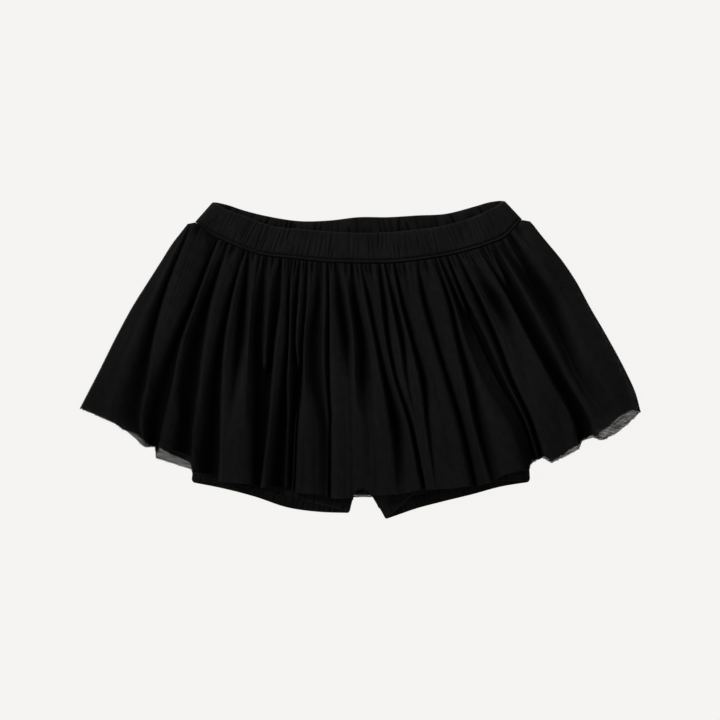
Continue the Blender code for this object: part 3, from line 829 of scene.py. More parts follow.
@dataclass(frozen=True)
class JerseyFinish:
    """Cotton jersey: rows of fine knit stitches, dull, with a faint fuzz, with painted shade in its creases.

    deepest_painted_shade is what painted shade leaves of the colour at a crease's foot, or 1 for none.
    wale_m and course_m are a stitch's width and height; fuzz and cloud are each the scale and detail
    of a noise, and uneven the least and most that cloud leaves of the colour.
    """

    name: str
    deepest_painted_shade: float = 1.0
    colour: tuple[float, float, float] = (0.0115, 0.0115, 0.0115)
    wale_m: float = 0.0009
    course_m: float = 0.0007
    stitch_lean: float = 0.7
    course_height: float = 0.35
    fuzz_height: float = 0.5
    fuzz: tuple[float, float] = (2600.0, 2.0)
    cloud: tuple[float, float] = (60.0, 4.0)
    uneven: tuple[float, float] = (0.8, 1.2)
    relief: float = 0.5
    relief_m: float = 0.00012
    roughness: float = 0.9
    specular: float = 0.05
    sheen: float = 0.03
    sheen_roughness: float = 0.5

    def material(self) -> Material:
        """Makes the material.

        Returns:
            The material.
        """
        w = Wiring(self.name)
        vector = w.uv()
        across, down = w.parts(vector)
        wale = w.math("SINE", w.math("MULTIPLY", across, 2 * math.pi / self.wale_m))
        lean = w.math("MULTIPLY", wale, self.stitch_lean)
        phase = w.math("ADD", w.math("MULTIPLY", down, 2 * math.pi / self.course_m), lean)
        course = w.math("MULTIPLY", w.math("SINE", phase), self.course_height)
        height = w.math("ADD", w.math("ABSOLUTE", wale), course)
        fuzz = w.math("MULTIPLY", w.noise(vector, *self.fuzz), self.fuzz_height)
        shade = w.spread(w.noise(vector, *self.cloud), NOISE_RANGE, self.uneven)
        # Painted shade: the colour darkens where the piece's attribute marks creases.
        if self.deepest_painted_shade < 1:
            shade = w.math("MULTIPLY", shade, w.hollow_left(1.0, self.deepest_painted_shade))
        return w.finish({
            "Base Color": w.tinted(self.colour, shade),
            "Roughness": self.roughness,
            "Specular IOR Level": self.specular,
            "Sheen Weight": self.sheen,
            "Sheen Roughness": self.sheen_roughness,
            "Normal": w.bump(w.math("ADD", height, fuzz), self.relief, self.relief_m),
        })


@dataclass(frozen=True)
class ThreadFinish:
    """Black sewing thread or the net's cut ends, a little smoother than the cloth."""

    name: str
    colour: tuple[float, float, float] = (0.01, 0.01, 0.01)
    roughness: float = 0.6
    specular: float = 0.1
    twist_scale: float = 700.0
    twist_warp: float = 2.0
    relief: float = 0.3
    relief_m: float = 0.0001

    def material(self) -> Material:
        """Makes the material.

        Returns:
            The material.
        """
        w = Wiring(self.name)
        place = w.node("ShaderNodeTexCoord").outputs["Object"]
        turns = {"Vector": place, "Scale": self.twist_scale, "Distortion": self.twist_warp}
        twist = w.node("ShaderNodeTexWave", turns).outputs["Fac"]
        return w.finish({
            "Base Color": (*self.colour, 1.0),
            "Roughness": self.roughness,
            "Specular IOR Level": self.specular,
            "Normal": w.bump(twist, self.relief, self.relief_m),
        })


@dataclass(frozen=True)
class FloorFinish:
    """Even, pale board, lit from within so that no shadow falls on it."""

    name: str
    colour: tuple[float, float, float] = (0.02, 0.02, 0.02)
    glow: tuple[float, float, float] = (0.901, 0.893, 0.877)

    def material(self) -> Material:
        """Makes the material.

        Returns:
            The material.
        """
        return Wiring(self.name).finish({
            "Base Color": (*self.colour, 1.0),
            "Roughness": 1.0,
            "Specular IOR Level": 0.0,
            "Emission Color": (*self.glow, 1.0),
            "Emission Strength": 1.0,
        })


# ---- Sewing and cut threads --------------------------------------------------------------

THREAD_SIDES, THREAD_STEPS = 4, 4
STITCH_SEGMENTS, STITCH_RINGS = 8, 6


@dataclass(frozen=True)
class Stitches:
    """A row of machine stitches, sunk a little into the cloth."""

    pitch_m: float = 0.0026
    length_m: float = 0.0021
    radius_m: float = 0.00017
    uneven: tuple[float, float] = (0.85, 1.1)
    seed: int = 5

    def sew(self, name: str, paths: Sequence[np.ndarray], material: Material) -> Object:
        """Sews along open paths.

        Args:
            name: the new object's name.
            paths: points of each path, in millimetres.
            material: the thread's finish.

        Returns:
            The stitches as one mesh.
        """
        recipe = Recipe("Stitch row", {
            "Pitch": self.pitch_m, "Length": self.length_m, "Radius": self.radius_m, "Seed": self.seed,
        })
        turned = recipe.pointed(recipe.out("GeometryNodeInputTangent"), "X")
        facets = {"Segments": STITCH_SEGMENTS, "Rings": STITCH_RINGS, "Radius": 1.0}
        ball = recipe.out("GeometryNodeMeshUVSphere", facets)
        half, radius = recipe.math("MULTIPLY", recipe.size("Length"), 0.5), recipe.size("Radius")
        stretched = {"Geometry": ball, "Scale": recipe.combine(half, radius, radius)}
        stitch = recipe.out("GeometryNodeTransform", stretched)
        recipe.repeat("Pitch", stitch, turned, recipe.random(*self.uneven, recipe.size("Seed")), material)
        return recipe.run(name, paths, [np.zeros_like(path) for path in paths])


@dataclass(frozen=True)
class Fray:
    """Cut ends of the net's threads along a raw edge, all short.

    A stub is bowed, leans aside by up to spread_radians and is stretched by a random share of
    longest, with short ones the most usual.
    """

    seed: int
    spacing_m: float = 0.0003
    stub_m: float = 0.0006
    radius_m: float = 0.00016
    spread_radians: float = 0.8
    bow: float = 0.22
    shortest: float = 0.3
    longest: float = 1.4
    least_chance: float = 0.3
    rarity: float = 3.0
    chance_seed: int = 17

    def fringe(
        self, name: str, paths: Sequence[np.ndarray], outward: Sequence[np.ndarray], material: Material
    ) -> Object:
        """Frays open edges.

        Args:
            name: the new object's name.
            paths: points of each edge, in millimetres.
            outward: for each edge, the direction away from the cloth at each point.
            material: the threads' finish.

        Returns:
            The cut ends as one mesh.
        """
        recipe = Recipe("Frayed edge", {
            "Spacing": self.spacing_m, "Stub": self.stub_m, "Longest": self.longest,
            "Radius": self.radius_m, "Spread": self.spread_radians, "Seed": self.seed,
        })
        stub, spread = recipe.size("Stub"), recipe.size("Spread")
        named = {"Name": OUTWARD}
        away = recipe.out("GeometryNodeInputNamedAttribute", named, data_type="FLOAT_VECTOR")
        lean = recipe.random(recipe.math("MULTIPLY", spread, -1.0), spread, recipe.size("Seed"))
        turns = {"Rotation": recipe.pointed(away, "Y"), "Rotate By": recipe.combine(z=lean)}
        rotation = recipe.out("FunctionNodeRotateRotation", turns, rotation_space="LOCAL")
        bow, half = (recipe.math("MULTIPLY", stub, share) for share in (self.bow, 0.5))
        strand = recipe.out("GeometryNodeCurveQuadraticBezier", {
            "Resolution": THREAD_STEPS,
            "Start": (0.0, 0.0, 0.0),
            "Middle": recipe.combine(bow, half),
            "End": recipe.combine(y=stub),
        })
        round_size = {"Resolution": THREAD_SIDES, "Radius": recipe.size("Radius")}
        ring = recipe.out("GeometryNodeCurvePrimitiveCircle", round_size)
        sweep = {"Curve": strand, "Profile Curve": ring, "Fill Caps": True}
        thread = recipe.out("GeometryNodeCurveToMesh", sweep)
        chance = recipe.random(self.least_chance, 1.0, self.chance_seed)
        rare = recipe.math("POWER", chance, self.rarity)
        long = recipe.math("MULTIPLY_ADD", rare, recipe.size("Longest"), self.shortest)
        recipe.repeat("Spacing", thread, rotation, recipe.combine(1.0, long, 1.0), material)
        return recipe.run(name, paths, outward)


# ---- Flattened tubes: the waistband and the leg hems -------------------------------------

RUCHE_CREST = 0.6
RUCHE_FALL = 1.6


@dataclass
class FlatTube:
    """A folded strip of jersey closed to a ring and laid flat, with a front and a back face.

    A station is a place round the ring: q from -1 to 1 across its flat, and the angle by which the
    strip has turned round a side fold, 0 on the front and pi on the back. rounding is how much of
    the way down the folded edge takes to round over.
    """

    inside: float
    wall: float
    fold_z: float
    front_stations: int
    back_stations: int
    rounding: float
    fold_at_top: bool
    turn_stations: int = 9
    round_steps: int = 9

    def stations(self) -> tuple[np.ndarray, np.ndarray]:
        """Places round the ring.

        Returns:
            Place across the flat, and angle of turn, at each station.
        """
        across = np.concatenate([
            np.linspace(-1, 1, self.front_stations),
            np.ones(self.turn_stations),
            np.linspace(1, -1, self.back_stations),
            -np.ones(self.turn_stations),
        ])
        steps = np.linspace(0, np.pi, self.turn_stations + 2)[1:-1]
        turn = np.concatenate([
            np.zeros(self.front_stations), steps, np.full(self.back_stations, np.pi), np.pi + steps,
        ])
        return across, turn

    def profile(self, down: np.ndarray) -> tuple[np.ndarray, np.ndarray]:
        """The strip's cross-section as a closed loop.

        Args:
            down: shares of the way down on the outer face, falling from 1 to 0.

        Returns:
            Depth from the outer face (0) to the inner face (1), and share of the way down.
        """
        steps = np.linspace(0, np.pi, self.round_steps)[1:-1]
        bulge = self.rounding * (1 - np.sin(steps))
        if self.fold_at_top:
            outer = self.rounding + (1 - self.rounding) * down
            back = self.rounding + (1 - self.rounding) * down[::-2]
        else:
            outer = (1 - self.rounding) * down[::-1]
            back = (1 - self.rounding) * down[::2]
            bulge = 1 - bulge
        depth = np.concatenate([np.zeros(len(outer)), 0.5 - 0.5 * np.cos(steps), np.ones(len(back))])
        return depth, np.concatenate([outer, bulge, back])

    def grids(self, down: np.ndarray) -> list[np.ndarray]:
        """The places of the strip's points, [round the strip, round the ring].

        Args:
            down: shares of the way down on the outer face, falling from 1 to 0.

        Returns:
            Depth, share of the way down, place across the flat, and angle of turn.
        """
        depth, down = self.profile(down)
        across, turn = self.stations()
        return list(np.broadcast_arrays(depth[:, None], down[:, None], across, turn))

    @staticmethod
    def faces(depth: np.ndarray, turn: np.ndarray) -> tuple[np.ndarray, np.ndarray]:
        """How far points belong to the front's outer face, and to the inner face, 0 to 1."""
        return ease(1 - 3 * depth) * ease(np.cos(turn)), ease(3 * depth - 2)

    def mesh(
        self, name: str, points: np.ndarray, painted_shade: np.ndarray, nodes: Sequence[str], material: Material
    ) -> Object:
        """Closes the strip's points to a mesh, with UVs by length round the ring and round the strip.

        Args:
            name: the piece's name.
            points: [round the strip, round the ring, xyz].
            painted_shade: how much painted shade each point's colour gets, 0 to 1.
            nodes: the solids that the piece stands for.
            material: its finish.

        Returns:
            The piece.
        """
        rows, columns = points.shape[:2]
        ring = run_length(np.concatenate([points, points[:, :1]], axis=1)[:1], axis=1)
        strip = run_length(np.concatenate([points, points[:1]]), axis=0)[:, :1]
        uv = np.stack(np.broadcast_arrays(ring, strip), axis=-1)
        r, c = (v.ravel() for v in np.meshgrid(np.arange(rows), np.arange(columns), indexing="ij"))
        r, c = np.stack([r, r + 1, r + 1, r], axis=-1), np.stack([c, c, c + 1, c + 1], axis=-1)
        if self.fold_at_top:
            r, c = r[:, ::-1], c[:, ::-1]
        faces = (r % rows) * columns + c % columns
        piece = new_object(name, points.reshape(-1, 3), faces, uv[r, c].reshape(-1, 2), material)
        set_painted_shade(piece, painted_shade)
        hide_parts(*nodes)
        return piece


@dataclass
class Waistband(FlatTube):
    """The ruched elastic waistband.

    top_line and seam_line are each the middle and the half width. back_step sets the back's creases
    apart from the front's. flat_below is how much of the ruches is left below the stitches.
    """

    inside: float = 0.8
    wall: float = 3.0
    fold_z: float = 3.8
    front_stations: int = 520
    back_stations: int = 260
    rounding: float = 0.06
    fold_at_top: bool = True
    top_line: tuple[float, float] = (-0.9, 102.0)
    seam_line: tuple[float, float] = (-1.0, 114.4)
    back_step: float = 400.0
    ruche: float = 0.7
    flat_below: float = 0.3
    ridge: float = 0.25
    lip_start: float = 0.955
    lip_run: float = 0.04
    lip_dip: float = 1.2
    stitch_dip: float = 0.85
    stitch_sink: float = 0.35
    stitch_share: float = 0.885
    stitch_points: int = 400
    inner_ruche: float = 0.8
    # Painted shade: how much the colour is darkened in the outer creases, in the stitch groove, and on the
    # inner face.
    crease_painted_shade: float = 0.38
    groove_painted_shade: float = 0.9
    groove_width: float = 0.03
    groove_gap: float = 0.02
    fading: float = 0.08
    inside_painted_shade: float = 0.35
    creases: Wrinkles = Wrinkles((1.4, 4.2), (0.5, 1.25), (0.15, 0.85), (0.35, 1.0), 2.2, 21)
    inner_creases: Wrinkles = Wrinkles((2.0, 5.5), (0.7, 1.6), (0.3, 1.0), (0.3, 0.9), 5.0, 22)

    def edge(self, along: np.ndarray, front: np.ndarray, which: str) -> np.ndarray:
        """Y of the band's top or seam.

        Args:
            along: place from the left fold (-1) to the right fold (1).
            front: 1 on the front and 0 on the back.
            which: top or seam.

        Returns:
            The edge's height along Y.
        """
        places = column(BAND_ROWS, "along")
        along = np.clip(along, -1, 1)
        ahead = through(along, places, column(BAND_ROWS, "front_" + which))
        behind = through(along, places, column(BAND_ROWS, "back_" + which))
        return mix(behind, ahead, front)

    def point(
        self, across: np.ndarray, turn: np.ndarray, radius: np.ndarray, down: np.ndarray
    ) -> np.ndarray:
        """Places of points on the band.

        Args:
            across: place across the flat, -1 to 1.
            turn: angle round a side fold.
            radius: distance from the band's middle plane.
            down: share of the way from the top edge to the seam.

        Returns:
            The points, with x, y and z last.
        """
        reach = self.inside + self.wall
        middle = mix(self.top_line[0], self.seam_line[0], down)
        half = mix(self.top_line[1], self.seam_line[1], down)
        x = across * (half - reach) + radius * np.sin(turn)
        front = 0.5 + 0.5 * np.cos(turn)
        y = mix(self.edge(x / half, front, "top"), self.edge(x / half, front, "seam"), down)
        return np.stack([middle + x, y, self.fold_z + radius * np.cos(turn)], axis=-1)

    def relief(
        self, along: np.ndarray, down: np.ndarray, depth: np.ndarray, turn: np.ndarray
    ) -> tuple[np.ndarray, np.ndarray]:
        """How far the faces stand out from their plain places, and how much painted shade they get.

        Args:
            along: place round the band, in millimetres.
            down: share of the way down.
            depth: 0 on the outer face and 1 on the inner face.
            turn: angle round a side fold.

        Returns:
            Outward heights, less than 0 where the inner face rises into the band, and the painted shade
            at each place: in creases, in the groove, under the lip and down the inner face, 0 to 1.
        """
        outer, inner = self.faces(depth, turn)
        over = self.stitch_share - self.groove_gap - down
        above = mix(self.flat_below, 1.0, ease(over / self.fading))
        creases = self.creases.depths(along, down)
        ruches = self.ruche * (RUCHE_CREST - RUCHE_FALL * creases) * above
        groove = bell((down - self.stitch_share) / self.groove_width)
        under_lip = ease((down - self.lip_start) / self.lip_run)
        past = down - self.stitch_share - self.groove_gap
        lip = self.ridge * ease(past / self.groove_width) - self.lip_dip * under_lip
        inner_creases = self.inner_creases.depths(along, down)
        inside = self.inner_ruche * (RUCHE_CREST - RUCHE_FALL * inner_creases)
        # Painted shade: outer creases, the stitch groove and the dip under the lip, then inner creases and a
        # darkening down the inner face from its top edge.
        painted_shade = outer * (self.crease_painted_shade * creases * above + self.groove_painted_shade * groove + under_lip)
        painted_shade += inner * (1.0 * inner_creases + self.inside_painted_shade * ease(down / 0.5))
        return outer * (ruches - self.stitch_dip * groove + lip) - inner * inside, painted_shade

    def build(self, jersey: Material, thread: Material) -> list[Object]:
        """Makes the band and its topstitching.

        Args:
            jersey: the band's finish.
            thread: the stitches' finish.

        Returns:
            The band, then its stitches.
        """
        finer_by_seam = np.concatenate([np.linspace(1, 0.78, 20), np.linspace(0.75, 0, 16)])
        depth, down, across, turn = self.grids(finer_by_seam)
        along = across * self.seam_line[1] + self.back_step * (turn >= np.pi)
        relief, painted_shade = self.relief(along, down, depth, turn)
        radius = self.inside + self.wall * (1 - depth) + relief
        points = self.point(across, turn, radius, down)
        band = self.mesh("waistband", points, painted_shade, ("waistband_front", "waistband_back"), jersey)
        return [band, self.topstitch(thread)]

    def topstitch(self, thread: Material) -> Object:
        """The row of stitches in the groove above the seam, on the front.

        Args:
            thread: the stitches' finish.

        Returns:
            The stitches.
        """
        count = self.stitch_points
        radius = np.full(count, self.inside + self.wall - self.stitch_sink)
        down = np.full(count, self.stitch_share)
        path = self.point(np.linspace(-1, 1, count), np.zeros(count), radius, down)
        return Stitches().sew("band_topstitch", [path], thread)


@dataclass
class LegHem(FlatTube):
    """The gathered elastic hem of one leg.

    span is the leg's middle and half width along X; corner is how far its lower corners are rounded
    off, and side_gap how far its sides stay within the span. Painted shade darkens its lower edge, where
    it folds under, but not by the crotch: fold_ends and fold_starts are each a place and a run.
    """

    inside: float = 0.22
    wall: float = 1.5
    fold_z: float = 4.4
    front_stations: int = 260
    back_stations: int = 260
    rounding: float = 0.12
    fold_at_top: bool = False
    hand: Hand = Hand.LEFT
    rows: tuple[LegRow, ...] = tuple(LEFT_LEG_ROWS)
    span: tuple[float, float] = (-62.4, 55.6)
    height: float = 9.0
    corner: float = 2.2
    side_gap: float = 0.15
    back_step: float = 300.0
    strip_steps: int = 16
    ruche: float = 0.5
    inner_ruche: float = 0.18
    inner_fall: float = 2.6
    # Painted shade: how much the colour is darkened in the outer creases, along the folded lower edge, and
    # on the inner face.
    crease_painted_shade: float = 0.7
    fold_painted_shade: float = 0.8
    fold_ends: tuple[float, float] = (0.35, 0.3)
    fold_starts: tuple[float, float] = (0.75, 0.2)
    inside_painted_shade: tuple[float, float] = (0.3, 0.5)
    stitch_points: int = 200
    stitch_reach: float = 0.98
    stitch_rise: float = 0.1
    stitch_share: float = 0.12
    creases: Wrinkles = Wrinkles((1.8, 6.4), (0.5, 1.5), (0.25, 1.0), (0.35, 1.0), 3.0, 31)
    inner_creases: Wrinkles = Wrinkles((1.6, 4.2), (0.5, 1.1), (0.35, 1.0), (0.5, 1.0), 1.6, 32)

    @property
    def word(self) -> str:
        """Left or right, as names say it."""
        return self.hand.name.lower()

    def plan(self, x: np.ndarray, side: Side, down: np.ndarray) -> np.ndarray:
        """Places on one side of the hem, seen from above.

        Args:
            x: distance from the leg's middle.
            side: the front or the back.
            down: share of the way from the hem's upper edge to its lower one.

        Returns:
            The points, with x and y last.
        """
        middle, half = self.span
        places = column(self.rows, "along")
        edge = column(self.rows, side.value)
        past = np.clip((np.abs(x) - half) / self.corner + 1, 0, 1)
        y = through(x / half, places, edge) + self.corner * (1 - np.sqrt(1 - past**2)) * down
        ends = [np.clip(x + step, -half, half) for step in (-0.5, 0.5)]
        before, after = (through(end / half, places, edge) for end in ends)
        slope = (after - before) / (ends[1] - ends[0])
        length = np.sqrt(1 + slope**2)
        up = self.height * (1 - down)
        return np.stack([middle + x - up * slope / length, y + up / length], axis=-1)

    def point(
        self, across: np.ndarray, turn: np.ndarray, radius: np.ndarray, down: np.ndarray
    ) -> np.ndarray:
        """Places of points on the hem.

        Args:
            across: place across the flat, -1 to 1.
            turn: angle round a side fold.
            radius: distance from the hem's middle plane.
            down: share of the way from the hem's upper edge to its lower one.

        Returns:
            The points, with x, y and z last.
        """
        half = self.span[1]
        x = across * (half - (self.inside + self.wall)) + radius * np.sin(turn)
        x = np.clip(x, -half + self.side_gap, half - self.side_gap)
        front = (0.5 + 0.5 * np.cos(turn))[..., None]
        plan = mix(self.plan(x, Side.BACK, down), self.plan(x, Side.FRONT, down), front)
        z = self.fold_z + radius * np.cos(turn) - leg_droop(plan[..., 0], plan[..., 1])
        return np.concatenate([plan, z[..., None]], axis=-1)

    def build(self, jersey: Material, thread: Material) -> list[Object]:
        """Makes the hem and its stitches.

        Args:
            jersey: the hem's finish.
            thread: the stitches' finish.

        Returns:
            The hem, then its stitches.
        """
        depth, down, across, turn = self.grids(np.linspace(1, 0, self.strip_steps))
        along = across * self.span[1] + self.back_step * (turn >= np.pi)
        outer, inner = self.faces(depth, turn)
        creases = self.creases.depths(along, down)
        inner_creases = self.inner_creases.depths(along, down)
        away = self.ruche * (RUCHE_CREST - RUCHE_FALL * creases)
        within = self.inner_ruche * (RUCHE_CREST - self.inner_fall * inner_creases)
        radius = self.inside + self.wall * (1 - depth) + outer * away - inner * within
        points = self.point(across, turn, radius, down)
        # Painted shade: outer creases, the lower part towards the folded edge except by the crotch, and the
        # inner face with its creases.
        by_crotch = ease((-self.hand.value * across - self.fold_ends[0]) / self.fold_ends[1])
        low = ease((down - self.fold_starts[0]) / self.fold_starts[1])
        fold = self.fold_painted_shade * (1 - by_crotch) * low
        inside = self.inside_painted_shade[0] + self.inside_painted_shade[1] * inner_creases
        painted_shade = self.crease_painted_shade * outer * creases + (1 - inner) * fold + inner * inside
        nodes = (f"leg_hem_front_{self.word}", f"leg_hem_back_{self.word}")
        hem = self.mesh(f"leg_hem_{self.word}", points, painted_shade, nodes, jersey)
        return [hem, self.stitches(thread)]

    def stitches(self, thread: Material) -> Object:
        """The row of stitches along the hem's upper edge, on the front.

        Args:
            thread: the stitches' finish.

        Returns:
            The stitches.
        """
        count = self.stitch_points
        across = np.linspace(-self.stitch_reach, self.stitch_reach, count)
        radius = np.full(count, self.inside + self.wall + self.stitch_rise)
        path = self.point(across, np.zeros(count), radius, np.full(count, self.stitch_share))
        return Stitches(pitch_m=0.0024, length_m=0.0019).sew(f"leg_stitches_{self.word}", [path], thread)


# ---- The skirt's shared lines ------------------------------------------------------------

SEAM_GAP, SEAM_FALL = 0.3, 0.2
HEM_HALF = 196.0
HEM_LOW, HEM_RISE, HEM_POWER = -96.5, 62.5, 2.1
SIDE_DROP, SHORTS_SIDE, SIDE_SLOPE = 4.0, 120.5, 22.0
SETTLE = 0.12
DROOP, DROOP_START, DROOP_RUN = 2.2, 3.0, 8.0


def hem_arc(x: np.ndarray) -> np.ndarray:
    """Y of the hem's plain arc."""
    return HEM_LOW + HEM_RISE * np.abs(x / HEM_HALF) ** HEM_POWER


def front_hem(x: np.ndarray | float) -> np.ndarray:
    """Y of the front net's hem."""
    return np.interp(x, column(FRONT_HEM, "x"), column(FRONT_HEM, "y"))


def hem_of(layer: str, x: np.ndarray) -> np.ndarray:
    """Y of a hidden layer's hem."""
    return hem_arc(x) - np.interp(x, column(DROP_ROWS, "x"), column(DROP_ROWS, layer))


def side_edge(hand: Hand, down: np.ndarray | float, inset: float = 0.0) -> np.ndarray:
    """X of the skirt's outer edge, moved inwards by inset."""
    edge = through(down, column(EDGE_ROWS, "down"), column(EDGE_ROWS, hand.name.lower()))
    return edge - hand.value * inset


def side_drop(x: np.ndarray, later: float = 0.0) -> np.ndarray:
    """How far the front layers have come down at x, past the shorts' sides."""
    return SIDE_DROP * ease((np.abs(x) - SHORTS_SIDE - later) / SIDE_SLOPE)


def leg_droop(x: np.ndarray, y: np.ndarray) -> np.ndarray:
    """How far a leg has come down to the surface, past the hem of the back net."""
    return DROOP * ease((hem_of("top_back", x) - y - DROOP_START) / DROOP_RUN)


def seam_edge(x: np.ndarray, side: Side) -> np.ndarray:
    """Y of the net's gathered edge, just below the band.

    Args:
        x: where to read it.
        side: the front or the back.

    Returns:
        The edge's height along Y.
    """
    band = Waistband()
    middle, half = band.seam_line
    front = np.full_like(x, 1.0 if side is Side.FRONT else 0.0)
    y = band.edge((x - middle) / half, front, "seam") - SEAM_GAP
    return y - SEAM_FALL * np.maximum(0, np.abs(x - middle) - half + 1)


# ---- Net ---------------------------------------------------------------------------------


@dataclass(frozen=True)
class RawHem:
    """A net's raw hem: it wavers a little, and past the shorts' sides its cut threads show.

    slow and quick are each a height and a wavelength; rise is how far the hem lies above the line of
    its threads' ends where they show, and smoothing how many points their direction is evened over.
    """

    shows_from: float = 113.0
    run: float = 10.0
    rise: float = 0.6
    waver: float = 0.25
    slow: tuple[float, float] = (0.4, 9.0)
    quick: tuple[float, float] = (0.4, 2.3)
    steps: float = 0.35
    smoothing: int = 6

    def ragged(self, x: np.ndarray, seed: int) -> np.ndarray:
        """How far the hem lies above its plain line.

        Args:
            x: where to read it.
            seed: of its wavering.

        Returns:
            The height along Y, in millimetres.
        """
        steps = np.random.default_rng(seed).uniform(-1, 1, len(x))
        slow = self.slow[0] * wander(x, self.slow[1], seed)
        quick = self.quick[0] * wander(x, self.quick[1], seed + 1)
        shows = ease((np.abs(x) - self.shows_from + self.run) / self.run)
        return self.waver * (slow + quick + self.steps * steps) + self.rise * shows

    def outward(self, hem: np.ndarray) -> np.ndarray:
        """Directions away from the cloth.

        Args:
            hem: points of the hem, from left to right.

        Returns:
            A direction for each point.
        """
        width = 2 * self.smoothing + 1
        padded = [np.pad(hem[:, i], self.smoothing, "edge") for i in (0, 1)]
        smooth = np.array([np.convolve(line, np.ones(width) / width, "valid") for line in padded])
        tangent = np.gradient(smooth, axis=1)
        tangent /= np.maximum(np.linalg.norm(tangent, axis=0), TINY)
        return np.stack([tangent[1], -tangent[0], np.zeros(len(hem))], axis=-1)

    def fringe(self, name: str, hem: np.ndarray, seed: int, threads: Material) -> Object:
        """Makes the cut ends where they show.

        Args:
            name: the new object's name.
            hem: points of the hem, from left to right.
            seed: of the ends.
            threads: their finish.

        Returns:
            The cut ends.
        """
        edges = [hem[hem[:, 0] < -self.shows_from], hem[hem[:, 0] > self.shows_from]]
        return Fray(seed).fringe(name, edges, [self.outward(edge) for edge in edges], threads)


@dataclass
class NetPanel:
    """A panel of net that is gathered to the band and has a raw hem."""

    name: str
    node: str
    seed: int
    hem_name: str
    hem_seed: int
    wall: float = 0.35

    def dress(
        self, points: np.ndarray, net: Material, threads: Material, **notes: list[str]
    ) -> list[Object]:
        """Makes the net's wall and its hem. The UV is the length along the hem, and down each column.

        Args:
            points: the middle of the wall, [row, column, xyz].
            net: the net's finish.
            threads: the cut ends' finish.

        Returns:
            The net, then the cut ends.
        """
        across = np.broadcast_to(run_length(points[-1:], axis=1), points.shape[:2])
        uv = np.stack([across, run_length(points, axis=0)], axis=-1)
        panel = thin_shell(self.name, points, uv, self.wall, net)
        fray = RawHem().fringe(self.hem_name, points[-1], self.hem_seed, threads)
        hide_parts(self.node)
        return [panel, fray]


